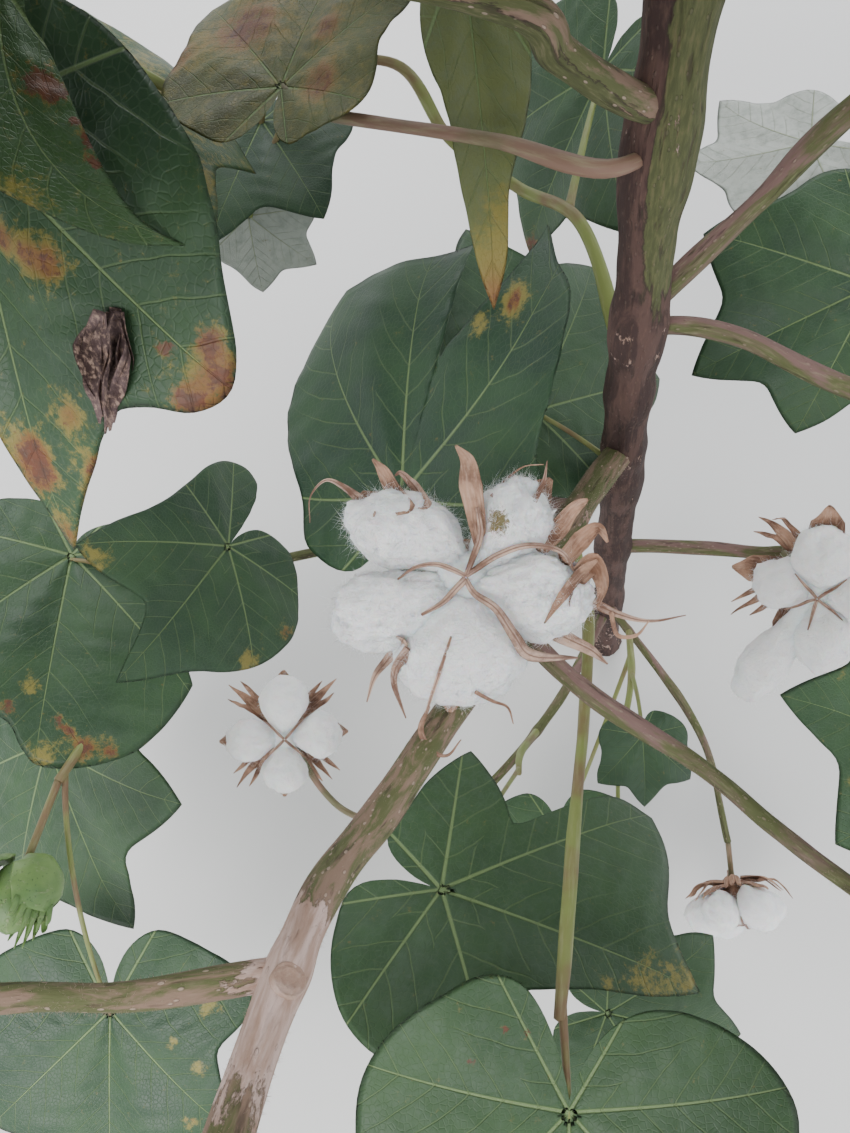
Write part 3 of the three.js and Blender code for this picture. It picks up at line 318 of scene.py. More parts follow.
# Corky crust on a limb: the distance along it, its half length and its strength.
CORK = {
    "front_branch": [(316, 20, 1.0), (330, 26, 0.75), (128, 14, 0.45), (64, 12, 0.4)],
    "main_stem": [(352, 9, 0.3), (441, 5, 0.36), (457, 4, 0.36), (550, 8, 0.3), (40, 60, 0.4)],
    "left_side_branch": [(0, 14, 0.9)],
}
HAIRS = {"front_branch": 5200, "left_side_branch": 1800, "boll_branch": 900}

# The tufts of a lock, as (strength, fineness), and the stain on one lock of the front boll.
TUFTS = ((1, 3), (0.5, 8), (0.3, 21))
STAIN = (11, 19, 14)
STAIN_RADIUS = 5.5
# The middle line of a small boll's bract, as shares of its size (out, forward).
OPEN_BRACT = ((0.2, -0.85), (0.8, -0.5), (1.15, -0.3), (1.3, 0.1))
CLOSED_BRACT = ((0.3, -0.9), (0.95, -0.5), (1.05, 0.3), (0.75, 1.2))
PETAL_FOLDS = 9
# Directions that no strip and no hair runs along.
STRIP_ASIDE = (0.31, 0.2, 0.93)
HAIR_ASIDE = (0.37, 0.61, 0.7)
# The place that the lights face, in metres.
LIT_PLACE = (-0.1, -0.05, 0.5)


# The plan: lines and directions.

def lerp(low, high, share):
    return low + (high - low) * share


def unit(way):
    return way / np.linalg.norm(way)


def units(ways):
    """Each row of directions at length 1."""
    return ways / np.linalg.norm(ways, axis=1)[:, None]


def lengths_along(points):
    """The distance along a row of points at each of them."""
    return np.concatenate([[0], np.cumsum(np.linalg.norm(np.diff(points, axis=0), axis=1))])


def eased(value, low, high):
    """0 below low, 1 above high, and a smooth step between them."""
    share = np.clip((np.asarray(value, float) - low) / (high - low), 0, 1)
    return share * share * (3 - 2 * share)


def heading(bearing, rise):
    b, r = math.radians(bearing), math.radians(rise)
    return np.array([math.cos(b) * math.cos(r), math.sin(b) * math.cos(r), math.sin(r)])


class Dice:
    """The same numbers from 0 to 1 on every run."""

    def __init__(self, seed):
        self.state = seed

    def roll(self):
        self.state = (1664525 * self.state + 1013904223) % 4294967296
        return self.state / 4294967296

    def between(self, low, high):
        return lerp(low, high, self.roll())


class Line:
    """A line through points, with the length along it at each of them."""

    def __init__(self, points):
        self.points = np.array(points, float)
        self.along = lengths_along(self.points)
        self.length = self.along[-1]

    def place(self, distance):
        s = min(max(distance, 0), self.length)
        i = min(int(np.searchsorted(self.along[1:], s)), len(self.points) - 2)
        share = (s - self.along[i]) / (self.along[i + 1] - self.along[i])
        way = self.points[i + 1] - self.points[i]
        return self.points[i] + way * share, unit(way)


def curve_through(ends, steps):
    """Points of a smooth curve through the ends, with that many steps from each end to the next."""
    ends = np.array(ends, float)
    padded = np.vstack([2 * ends[0] - ends[1], ends, 2 * ends[-1] - ends[-2]])
    points = []
    for i in range(len(ends) - 1):
        p0, p1, p2, p3 = padded[i:i + 4]
        t0, t1 = (p2 - p0) / 2, (p3 - p1) / 2
        for t in np.arange(steps) / steps:
            cubic = (2 * p1 - 2 * p2 + t0 + t1) * t ** 3 + (-3 * p1 + 3 * p2 - 2 * t0 - t1) * t * t
            points.append(p1 + t0 * t + cubic)
    return np.array(points + [ends[-1]])


def ends_of(start, legs):
    ends = [np.array(start, float)]
    for length, bearing, rise in legs:
        ends.append(ends[-1] + heading(bearing, rise) * length)
    return ends


def stalk_line(start, end, bow, steps=6):
    """A stalk's line, which bows over from its start to its end."""
    middle = (start + end) / 2
    middle[2] += bow * np.linalg.norm(end - start)
    t = np.linspace(0, 1, steps + 1)[:, None]
    return Line((1 - t) ** 2 * start + 2 * t * (1 - t) * middle + t * t * end)


class Leaf:
    """One leaf: where it joins its stalk, its size and its own directions."""

    def __init__(self, joint, length, head, roll, at=0, name="", **shape):
        self.joint = np.array(joint, float)
        self.length = length
        self.at = at
        self.name = name
        self.wide = shape.get("wide", (1, 1))
        self.sweep = shape.get("sweep", (0, 0))
        self.base = shape.get("base", 1)
        self.curl = shape.get("curl", 0)
        self.tone = shape.get("tone")
        self.wash = shape.get("wash", (0, 0))
        self.forward = heading(*head)
        upright = unit(np.array([0, 0, 1]) - self.forward * self.forward[2])
        across = np.cross(upright, self.forward)
        turn = math.radians(roll)
        self.up = upright * math.cos(turn) + across * math.sin(turn)
        self.left = np.cross(self.up, self.forward)
        self.stalk = None

    def blade(self, share, angle, raised=0):
        """Points of the blade, from shares of the outline and angles from the midrib, left positive."""
        share, angle = np.broadcast_arrays(np.asarray(share, float), np.asarray(angle, float))
        left = angle > 0
        share = share * (1 + (self.base - 1) * eased(np.abs(angle), 72, 100))
        swept = angle * (1 - np.where(left, self.sweep[0], self.sweep[1]) * share ** 2)
        turned = np.radians(swept + self.curl * share ** 2)
        x = share * np.cos(turned)
        y = share * np.sin(turned) * np.where(left, self.wide[0], self.wide[1])
        fold = math.radians(LEAF_FOLD)
        lift = np.abs(y) * math.sin(fold) - LEAF_BEND * share ** 2 * (1 + np.abs(y)) + raised
        flat = x[..., None] * self.forward + (y * math.cos(fold))[..., None] * self.left
        return self.joint + self.length * (flat + lift[..., None] * self.up)

    def outlined(self):
        """The leaf as its own outline takes it, where it has one: as wide as that says, and with its curl."""
        if self.name not in OUTLINES:
            return self
        leaf = copy.copy(self)
        leaf.wide, leaf.base, leaf.curl = (1, 1), 1, OUTLINES[self.name][0]
        return leaf

    def samples(self):
        """Points spread over the blade, by which it is kept clear of the rest."""
        half = LEAF_EDGE + [(share, -angle) for share, angle in LEAF_EDGE[-2:0:-1]]
        rim = self.blade([row[0] for row in half], [row[1] for row in half])
        heart = self.blade(LEAF_HEART, 0)
        following = np.roll(rim, -1, axis=0)
        edges = np.vstack([lerp(rim, following, step) for step in (0, 1 / 3, 2 / 3)])
        return np.vstack([heart[None], edges, lerp(heart, edges, 0.66), lerp(heart, rim, 0.33)])


class Boll:
    """A small boll of a mass, open or closed, at the end of its own stalk."""

    def __init__(self, point, face, size, is_open, spin, reach):
        self.start = point
        self.face = face
        self.size = size
        self.open = is_open
        self.spin = spin
        self.centre = point + face * reach

    def bloom(self):
        return Bloom(self.centre, self.face, self.spin)


class Limb:
    """A limb, or the stem of a mass of leaves."""

    def __init__(self, name, row, start):
        ends = ends_of(start, row["legs"])
        self.name = name
        self.row = row
        self.line = Line(curve_through(ends, CURVE_STEPS))
        self.fine = Line(curve_through(ends, FINE_STEPS))
        self.leaves = []
        self.bolls = []
        self.young = []
        self.buds = []

    def radius(self, share):
        foot, tip = self.row["radius"]
        if self.name != "main_stem":
            return lerp(foot, tip, share)
        return tip + (foot - tip) * (1 - share ** 3.2) + 4.6 * np.exp(-share * self.line.length / 20)


class Plant:
    """Everything that has grown, in the order of the plan."""

    def __init__(self):
        self.limbs = {}
        self.masses = []
        self.grown = []
        pitch, roll = math.radians(CLEARING["down"]), math.radians(CLEARING["roll"])
        level = np.array([1.0, 0, 0])
        rising = np.array([0, math.sin(pitch), math.cos(pitch)])
        self.view_in = np.array([0, math.cos(pitch), -math.sin(pitch)])
        self.view_right = level * math.cos(roll) + rising * math.sin(roll)
        self.view_up = -level * math.sin(roll) + rising * math.cos(roll)

    def remember(self, points, radius, name):
        points = np.atleast_2d(points)
        self.grown.append((points, radius, points.min(0), points.max(0), name))

    def meets(self, points, radius, ignored):
        points = np.atleast_2d(points)
        low, high = points.min(0), points.max(0)
        for others, other_radius, other_low, other_high, name in self.grown:
            near = radius + other_radius
            if name == ignored or (low - near > other_high).any() or (high + near < other_low).any():
                continue
            gaps = ((points[:, None] - others[None]) ** 2).sum(2)
            if (gaps < near * near).any():
                return True
        return False

    def in_clearing(self, points):
        off = np.atleast_2d(points) - np.array(CLEARING["apex"], float)
        depth = off @ self.view_in
        wide = np.abs(off @ self.view_right) < depth * CLEARING["half_width"] + 14
        high = np.abs(off @ self.view_up) < depth * CLEARING["half_height"] + 14
        return bool(((depth > -14) & wide & high).any())

    def grow_limb(self, name, row):
        start = np.zeros(3)
        if "on" in row:
            start = self.limbs[row["on"]].line.place(row.get("at", math.inf))[0]
        limb = Limb(name, row, start)
        self.limbs[name] = limb
        self.remember(limb.line.points, row["radius"][0] + 3, name)
        return limb

    def keep_leaf(self, leaf, mass):
        mass.leaves.append(leaf)
        self.remember(leaf.samples(), LEAF_BALL, mass.name)
        self.remember(leaf.stalk.points[1:], STALK_RADIUS[0] + 1, mass.name)

    def leaf_fits(self, leaf, mass, room=LEAF_BALL):
        blade = leaf.samples()
        stalk = leaf.stalk.points[2:]
        points = np.vstack([blade, stalk])
        if points[:, 2].min() < LOWEST or self.in_clearing(points):
            return False
        if self.meets(blade, room, ""):
            return False
        return not self.meets(stalk, STALK_RADIUS[0] + 1.5, mass.name)

    def show_leaves(self, mass):
        for name in mass.row.get("shown", []):
            row = dict(SHOWN[name])
            bow = row.pop("bow")
            leaf = Leaf(name=name, **row)
            leaf.stalk = stalk_line(mass.line.place(leaf.at)[0], leaf.joint, bow)
            self.keep_leaf(leaf, mass)

    def grow_leaves(self, mass, dice):
        """Leaves on both sides of the stem in turn, and every few of them a boll across from one."""
        side = 1 if dice.roll() < 0.5 else -1
        node, s = 0, 20
        while s < mass.line.length:
            for _ in range(TRIES):
                leaf = seeded_leaf(mass, s, side, dice)
                if self.leaf_fits(leaf, mass):
                    self.keep_leaf(leaf, mass)
                    break
            node += 1
            if mass.row.get("bolls") and node % mass.row["bolls"] == 0:
                self.try_boll(seeded_boll(mass, s, side, dice), mass)
            side = -side
            s += mass.row["space"]

    def try_boll(self, boll, mass):
        if self.in_clearing(boll.centre) or self.meets(boll.centre, boll.size * 1.15, ""):
            return
        mass.bolls.append(boll)
        self.remember(boll.centre, boll.size * 1.15, mass.name)

    def grow_young(self, mass, dice):
        """Small leaves on short stalks and closed buds between the leaves, finer than the plan."""
        side, s = 1, 12
        while s < mass.line.length:
            for _ in range(YOUNG_TRIES):
                leaf = young_leaf(mass, s, side, dice)
                if self.leaf_fits(leaf, mass, YOUNG_BALL):
                    mass.young.append(leaf)
                    self.remember(leaf.samples(), YOUNG_BALL, mass.name)
                    break
            point, way = mass.line.place(s + 7)
            face = heading(bearing_of(way) - side * dice.between(40, 90), dice.between(10, 50))
            bud = Boll(point, face, dice.between(5, 8), False, 360 * dice.roll(), dice.between(12, 22))
            taken = self.in_clearing(bud.centre) or self.meets(bud.centre, bud.size, mass.name)
            if side > 0 and not taken:
                mass.buds.append(bud)
            side = -side
            s += mass.row["space"] * YOUNG_SPACE


def bearing_of(way):
    return math.degrees(math.atan2(way[1], way[0]))


def seeded_leaf(mass, distance, side, dice):
    """One try at a leaf: its stalk leaves the stem sideways and up, and the blade hangs out from it."""
    point, way = mass.line.place(distance)
    bearing = bearing_of(way) + side * dice.between(38, 100)
    rise = dice.between(4, 46)
    reach = dice.between(46, 96)
    length = dice.between(*mass.row["leaf"])
    head = (bearing + dice.between(-24, 24), dice.between(-34, -6))
    roll = dice.between(-16, 16)
    leaf = Leaf(point + heading(bearing, rise) * reach, length, head, roll, at=distance)
    leaf.stalk = stalk_line(point, leaf.joint, 0.08)
    return leaf


def young_leaf(mass, distance, side, dice):
    point, way = mass.line.place(distance)
    bearing = bearing_of(way) + side * dice.between(20, 120)
    reach = dice.between(16, 44)
    head = (bearing + dice.between(-30, 30), dice.between(-24, 30))
    joint = point + heading(bearing, dice.between(10, 65)) * reach
    leaf = Leaf(joint, dice.between(30, 68), head, dice.between(-30, 30), at=distance)
    leaf.stalk = stalk_line(point, joint, 0.1)
    return leaf


def seeded_boll(mass, distance, side, dice):
    point, way = mass.line.place(distance)
    bearing = bearing_of(way) - side * dice.between(40, 80)
    rise = dice.between(0, 40)
    is_open = dice.roll() < mass.row.get("ripe", RIPE)
    size = dice.between(24, 28) if is_open else dice.between(14, 16)
    return Boll(point, heading(bearing, rise), size, is_open, 360 * dice.roll(), 24 + size)


def upper_rows():
    """The rows of the upper fruiting branches, which get shorter, steeper and thinner towards the tip."""
    rows = {}
    for i in range(UPPER["count"]):
        share = i / (UPPER["count"] - 1)
        reach = lerp(*UPPER["reach"], share)
        count = max(2, math.floor(reach / UPPER["leg"] + 0.5))
        legs = []
        for k in range(count):
            swing = (1 if k % 2 else -1) * UPPER["zigzag"]
            rise = lerp(*UPPER["rise"], share) + (0 if k else 14) - 4 * k
            legs.append((reach / count, UPPER["first"] + UPPER["turn"] * i + swing, rise))
        leaf = [lerp(foot, tip, share) for foot, tip in zip(*UPPER["leaf"])]
        rows[f"upper_leaves_{i + 1}"] = stem(
            "main_stem", (lerp(*UPPER["radius"], share), 1.5), legs, at=lerp(*UPPER["height"], share),
            space=lerp(*UPPER["space"], share), leaf=leaf, bolls=2, ripe=0.9 - 0.9 * share)
    rows["tip_leaves"] = stem(
        "main_stem", (2.4, 1.4), [(30, 170, 80), (28, 200, 84)], space=13, leaf=(44, 60), ripe=0)
    return rows


def grow_plant():
    plant = Plant()
    for name, row in LIMBS.items():
        plant.grow_limb(name, row)
    for name, row in {**MASSES, **upper_rows()}.items():
        plant.masses.append(plant.grow_limb(name, row))
    for name, row in OPEN_BOLLS.items():
        plant.remember(np.array(row["centre"], float), 46, name)
    plant.remember(np.array(GREEN_BOLL["centre"], float), 26, "green_boll")
    for mass in plant.masses:
        plant.show_leaves(mass)
    for i, mass in enumerate(plant.masses):
        if "space" in mass.row:
            plant.grow_leaves(mass, Dice(4001 + 97 * i))
    for i, mass in enumerate(plant.masses):
        if "space" in mass.row:
            plant.grow_young(mass, Dice(9001 + 131 * i))
    return plant


PLANT = grow_plant()
MASS_NODES = [mass.name for mass in PLANT.masses]


# Meshes from arrays.

class Heap:
    """Points, faces and their values, gathered in millimetres for one joined mesh."""

    def __init__(self, **widths):
        self.widths = widths
        self.points, self.faces, self.slots, self.cells = [], [], [], []
        self.values = {key: [] for key in widths}
        self.count = 0

    def add_faces(self, blocks, slot, cell):
        for block in blocks:
            self.faces.append(block)
            self.slots.append(np.full(len(block), slot))
            self.cells.append(np.full(len(block), cell))

    def add(self, points, faces, slot=0, cell=-1, **values):
        self.add_faces([block + self.count for block in faces], slot, cell)
        for key, width in self.widths.items():
            value = np.asarray(values.get(key, 0.0), float)
            shape = (len(points), width) if width > 1 else (len(points),)
            self.values[key].append(np.broadcast_to(value, shape))
        self.points.append(np.asarray(points, float))
        self.count += len(points)

    def mesh(self, name):
        mesh = bpy.data.meshes.new(name)
        points = np.concatenate(self.points) * MM
        corners = np.concatenate([block.ravel() for block in self.faces])
        sizes = np.concatenate([np.full(len(block), block.shape[1]) for block in self.faces])
        starts = np.concatenate([[0], np.cumsum(sizes)[:-1]])
        mesh.vertices.add(len(points))
        mesh.vertices.foreach_set("co", points.astype(np.float32).ravel())
        mesh.loops.add(len(corners))
        mesh.loops.foreach_set("vertex_index", corners.astype(np.int32))
        mesh.polygons.add(len(sizes))
        mesh.polygons.foreach_set("loop_start", starts.astype(np.int32))
        mesh.polygons.foreach_set("material_index", np.concatenate(self.slots).astype(np.int32))
        mesh.update(calc_edges=True)
        mesh.shade_smooth()
        self.write_values(mesh, corners, sizes)
        mesh.validate()
        return mesh

    def write_values(self, mesh, corners, sizes):
        for key, width in self.widths.items():
            value = np.concatenate(self.values[key]).astype(np.float32)
            if width == 2:
                layer = mesh.uv_layers.new(name=key)
                layer.data.foreach_set("uv", value[corners].ravel())
                continue
            kind = "FLOAT" if width == 1 else "FLOAT_VECTOR"
            layer = mesh.attributes.new(key, kind, "POINT")
            layer.data.foreach_set("value" if width == 1 else "vector", value.ravel())
        if "blade" in self.widths:
            self.write_atlas(mesh, corners, sizes)

    def write_atlas(self, mesh, corners, sizes):
        """A second map, in which each side of each leaf has a square of its own."""
        cells = np.repeat(np.concatenate(self.cells), sizes)
        across = math.ceil(math.sqrt(cells.max() + 1))
        local = np.concatenate(self.values["blade"])[corners]
        inside = 0.03 + 0.94 * (local - [-0.75, -1.15]) / [1.9, 2.3]
        corner = np.stack([cells % across, cells // across], axis=1)
        placed = (corner + np.clip(inside, 0.01, 0.99)) / across
        layer = mesh.uv_layers.new(name="OFBake")
        layer.data.foreach_set("uv", placed.astype(np.float32).ravel())


def add_piece(name, heap, materials, slot, nodes):
    """Makes a heap one object that rides on the plant and stands for some nodes of the frame."""
    piece = bpy.data.objects.new(name, heap.mesh(name))
    bpy.context.scene.collection.objects.link(piece)
    return finish_piece(piece, materials, slot, nodes)


def finish_piece(piece, materials, slot, nodes):
    for material in materials:
        piece.data.materials.append(material)
    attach(piece, "root")
    if nodes:
        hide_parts(*nodes)
    return piece


def waves(points, scale, seed, count=9):
    """Smooth seeded noise of about -1 to 1 at points, with bumps of about that scale."""
    rng = np.random.default_rng(seed)
    ways = rng.normal(size=(count, 3)) * (2.2 / scale)
    phases = rng.uniform(0, 2 * math.pi, count)
    return np.sin(points @ ways.T + phases).sum(-1) * math.sqrt(2 / count) * 0.6


def grid_faces(rings, sides):
    """Four-cornered faces between rings of points, each turned outwards for a tube that runs forward."""
    ring, side = np.meshgrid(np.arange(rings - 1), np.arange(sides), indexing="ij")
    here, after = ring * sides + side, ring * sides + (side + 1) % sides
    return np.stack([here, after, after + sides, here + sides], axis=-1).reshape(-1, 4)


def fan(sides, first, middle):
    """Three-cornered faces from a ring of points to a middle one."""
    here = np.arange(sides)
    return np.stack([first + here, first + (here + 1) % sides, np.full(sides, middle)], 1)


def tube_faces(rings, sides):
    """The faces of a closed tube. The last two of its points are the middles of its foot and of its tip."""
    foot = rings * sides
    return [grid_faces(rings, sides), fan(sides, 0, foot)[:, ::-1], fan(sides, foot - sides, foot + 1)]


def circle(sides):
    theta = np.arange(sides) * 2 * math.pi / sides
    return theta, np.cos(theta), np.sin(theta)


def carried_frames(middles):
    """Directions along, through and across a row of middles, carried along with it without a twist."""
    ways = np.empty_like(middles)
    ways[1:-1] = middles[2:] - middles[:-2]
    ways[0] = middles[1] - middles[0]
    ways[-1] = middles[-1] - middles[-2]
    ways = units(ways)
    upright = np.array([1.0, 0, 0]) if abs(ways[0][2]) > 0.9 else np.array([0, 0, 1.0])
    right = np.cross(ways[0], upright)
    rights = np.empty_like(middles)
    for k, way in enumerate(ways):
        right = unit(right - way * (right @ way))
        rights[k] = right
    return ways, rights, np.cross(ways, rights)


def add_tube(heap, line, radius_at, sides, step, relief=None, slot=0, flat_foot=False, **values):
    """A round limb along a line. Its radius is a function of the share, and relief adds to it."""
    count = max(3, int(math.ceil(line.length / step)) + 1)
    shares = np.linspace(0, 1, count)
    s = (shares * line.length)[:, None]
    middles = np.array([line.place(distance)[0] for distance in s[:, 0]])
    ways, rights, outs = carried_frames(middles)
    theta, cos, sin = circle(sides)
    radius = np.array([radius_at(share) for share in shares])[:, None] + np.zeros(sides)
    if relief is not None:
        radius = radius + relief(theta, s, radius)
    x, y = radius * cos, radius * sin
    points = middles[:, None] + x[..., None] * rights[:, None] + y[..., None] * outs[:, None]
    tip = middles[-1] + ways[-1] * radius[-1].mean() * 0.5
    points = np.vstack([points.reshape(-1, 3), middles[0], tip])
    if flat_foot:
        points[[*range(sides), -2], 2] = 0
    grain = np.stack([x, y, np.broadcast_to(s, x.shape)], -1).reshape(-1, 3)
    grain = np.vstack([grain, [[0, 0, 0], [0, 0, line.length]]])
    per_point = {key: value(grain) for key, value in values.items()}
    heap.add(points, tube_faces(count, sides), slot=slot, grain=grain * MM, **per_point)


def add_strip(heap, path, widths, facing, thick=0.45, cup=0.0, crumple=0.0, twist=0.0, seed=1, slot=0,
              steps=5, sides=8):
    """A thin dry blade along a path: an oval section that is cupped, crumpled and may twist."""
    middles = curve_through(path, steps)
    count = len(middles)
    ways, _, _ = carried_frames(middles)
    shares = np.linspace(0, 1, count)
    half = np.interp(shares, np.linspace(0, 1, len(widths)), widths)[:, None] / 2
    across = np.cross(ways, np.broadcast_to(facing, ways.shape))
    end_on = np.linalg.norm(across, axis=1) < 0.15
    across[end_on] = np.cross(ways[end_on], STRIP_ASIDE)
    across = units(across)
    normal = np.cross(across, ways)
    turn = np.radians(twist) * shares[:, None]
    cos, sin = np.cos(turn), np.sin(turn)
    across, normal = across * cos + normal * sin, normal * cos - across * sin
    _, cos, sin = circle(sides)
    depth = np.minimum(thick, half + 0.05) / 2 * sin + cup * half * (cos * cos - 0.5)
    points = middles[:, None] + (half * cos)[..., None] * across[:, None] + depth[..., None] * normal[:, None]
    if crumple:
        ripple = waves(points, 5 + 3 * crumple, seed) * crumple * np.minimum(half / 2, 1)
        points = points + ripple[..., None] * normal[:, None]
    s = lengths_along(middles)
    grain = np.stack([half * cos, depth, np.broadcast_to(s[:, None], depth.shape)], -1).reshape(-1, 3)
    grain = np.vstack([grain, [[0, 0, 0], [0, 0, s[-1]]]])
    points = np.vstack([points.reshape(-1, 3), middles[0], middles[-1]])
    faces = [block[:, ::-1] for block in tube_faces(count, sides)]
    heap.add(points, faces, slot=slot, grain=grain * MM)


def add_spikes(heap, roots, ways, lengths, radius, bends=None):
    """Hairs: slim closed spikes from roots, straight or bent once on the way."""
    ways = units(ways)
    side = units(np.cross(ways, HAIR_ASIDE))
    _, cos, sin = circle(3)
    ring = radius * (cos[:, None] * side[:, None] + sin[:, None] * np.cross(ways, side)[:, None])
    reach = ways * lengths[:, None]
    base = roots[:, None] + ring
    if bends is None:
        points = np.concatenate([base, (roots + reach)[:, None]], axis=1)
        faces = np.array([[0, 1, 3], [1, 2, 3], [2, 0, 3], [2, 1, 0]])
    else:
        middle = (roots + reach * 0.5)[:, None] + ring * 0.8
        tip = roots + reach * 0.8 + bends * lengths[:, None] * 0.45
        points = np.concatenate([base, middle, tip[:, None]], axis=1)
        faces = np.array([[0, 1, 4], [0, 4, 3], [1, 2, 5], [1, 5, 4], [2, 0, 3], [2, 3, 5],
                          [3, 4, 6], [4, 5, 6], [5, 3, 6], [2, 1, 0]])
    firsts = np.arange(len(roots)) * points.shape[1]
    heap.add(points.reshape(-1, 3), [(faces[None] + firsts[:, None, None]).reshape(-1, 3)])


# Leaves.

def polar(share, angle):
    """Places of a blade along its midrib and to the left of it."""
    return share * np.cos(np.radians(angle)), share * np.sin(np.radians(angle))


def outline_of(leaf):
    """Angles and shares round a blade, the angles at which it is pointed, and those of its long veins."""
    _, veins, stops = OUTLINES.get(leaf.name, (0, USUAL_VEINS, None))
    if stops is None:
        stops = [(share, -angle, *point) for share, angle, *point in HALF_OUTLINE[:0:-1]] + HALF_OUTLINE
    rows = [(share / 100, *rest) for share, *rest in ((4, -180, 1), *stops, (4, 180, 1))]
    breaks = [i for i, row in enumerate(rows) if len(row) == 3]
    runs = [curve_through([row[:2] for row in rows[i:j + 1]], 12) for i, j in zip(breaks, breaks[1:])]
    share, angle = np.vstack(runs).T
    return np.maximum.accumulate(angle), share, [rows[i][1] for i in breaks[1:-1]], veins


def rim_columns(angle, share, pointed, count):
    """Angles for the columns of a blade, spaced evenly along its rim, with one at each point."""
    along = lengths_along(np.stack(polar(share, angle), 1))
    columns = np.interp(np.arange(count) / count * along[-1], along, angle)
    for tip in pointed:
        columns[np.abs(columns - tip).argmin()] = tip
    return np.unique(columns)


def blade_relief(share, angle, rng, puff, ruffle):
    """How far the blade swells between its veins, waves along its rim and sways, as shares of its length."""
    a = np.abs(angle)
    veins = np.array(MAIN_VEINS + (205,), float)
    i = np.clip(np.searchsorted(veins, a, side="right") - 1, 0, len(veins) - 2)
    bulge = np.sin(math.pi * (a - veins[i]) / (veins[i + 1] - veins[i])) ** 2
    between = puff * bulge * share * (1.25 - share)
    along, _ = polar(share, a - veins[i])
    quilt = 0.07 * puff * np.sin(along * 54) * bulge * np.minimum(share * 3, 1)
    p = rng.uniform(0, 2 * math.pi, 5)
    turn = np.radians(angle)
    rim = ruffle * share ** 3 * (np.sin(turn * 5 + p[0]) + 0.6 * np.sin(turn * 11 + p[1]))
    x, y = polar(share, angle)
    sway = 0.022 * np.sin(3.1 * x + p[2]) * np.sin(2.7 * y + p[3]) * share
    tips = -0.035 * eased(share, 0.72, 1.05)
    return between + quilt + rim + sway + tips


def marks_at(leaf, x, y, rng):
    """The yellowing and browning at places of a blade."""
    yellow, brown = leaf.wash
    marks = [(share / 100, angle, *(amount / 100 for amount in amounts))
             for share, angle, *amounts in MARKS.get(leaf.name, [])]
    if not leaf.name:
        yellow = max(0, rng.normal(0.02, 0.07))
        marks = [seeded_mark(rng) for _ in range(rng.integers(0, 4))]
    yellow, brown = np.full(x.shape, float(yellow)), np.full(x.shape, float(brown))
    for share, angle, size, yellowing, browning in marks:
        mark_x, mark_y = polar(share, angle)
        gap = (x - mark_x) ** 2 + (y - mark_y) ** 2
        yellow += yellowing * np.exp(-gap / (1.4 * size) ** 2)
        brown += browning * np.exp(-gap / size ** 2)
    return np.clip(yellow, 0, 1.3), np.clip(brown, 0, 1.2)


def seeded_mark(rng):
    strength = rng.uniform(0.4, 1)
    angle = rng.choice(USUAL_VEINS) + rng.uniform(-14, 14)
    return rng.uniform(0.5, 0.95), angle, rng.uniform(0.02, 0.05), strength, max(0, 1.3 * strength - 0.4)


def add_blade(heap, leaf, columns, rows, thick, rng, cell):
    """One leaf: an upper and an under side that meet at a sharp rim, in the lobed outline."""
    rim_angle, rim_share, pointed, veins = outline_of(leaf)
    angle = rim_columns(rim_angle, rim_share, pointed, columns)
    sides = len(angle)
    inward = np.linspace(0, 1, rows + 1)[1:]
    share = inward[:, None] * np.interp(angle, rim_angle, rim_share)[None]
    angles = np.broadcast_to(angle, share.shape)
    usual = np.interp(angles, (-180, *veins, 180), (-180, *USUAL_VEINS, 180))
    relief = blade_relief(share, usual, rng, sizes().puff, sizes().ruffle)
    top = leaf.outlined().blade(share, angles, relief)
    under = top[:-1] - leaf.up * thick * (1 - inward[:-1] ** 4)[:, None, None]
    centres = np.stack([leaf.joint, leaf.joint - leaf.up * thick])
    points = np.vstack([top.reshape(-1, 3), under.reshape(-1, 3), centres])
    local, place = [both_sides(np.stack(polar(share, around), -1)) for around in (usual, angles)]
    squares = grid_faces(rows, sides)
    faces = np.vstack([squares[:, [0, 1, 2]], squares[:, [0, 2, 3]]])
    split = rows * sides
    below = np.where(faces < split - sides, faces + split, faces)
    centre = split + split - sides
    yellow, brown = marks_at(leaf, place[:, 0], place[:, 1], rng)
    drawn = rng.uniform(0, 1)
    tone = drawn if leaf.tone is None else leaf.tone
    tint = np.stack([yellow, brown, np.full(len(points), tone)], 1)
    start = heap.count
    heap.add(points, [faces[:, ::-1], fan(sides, 0, centre)[:, ::-1]], cell=2 * cell, blade=local, tint=tint)
    heap.add_faces([below + start, fan(sides, split, centre + 1) + start], 1, 2 * cell + 1)


def both_sides(flat):
    """The same values for the upper side, the under side and the two middles of a blade."""
    return np.vstack([flat.reshape(-1, 2), flat[:-1].reshape(-1, 2), np.zeros((2, 2))])


# Materials.

SOCKETS = {
    "roughness": "Roughness", "specular": "Specular IOR Level", "subsurface": "Subsurface Weight",
    "subsurface_scale": "Subsurface Scale", "sheen": "Sheen Weight", "sheen_roughness": "Sheen Roughness",
}


class Value:
    """A value in a material's tree, which is reckoned with like a number."""

    def __init__(self, paint, socket):
        self.paint = paint
        self.socket = socket

    def __add__(self, other):
        return self.paint.math("ADD", self, other)

    def __sub__(self, other):
        return self.paint.math("SUBTRACT", self, other)

    def __mul__(self, other):
        return self.paint.math("MULTIPLY", self, other)

    def __truediv__(self, other):
        return self.paint.math("DIVIDE", self, other)

    def inverse(self):
        return self.paint.math("SUBTRACT", 1.0, self)


def solid(colour):
    """A plain colour that nothing shows through. A value stays as it is."""
    return colour if isinstance(colour, Value) else (*colour, 1)


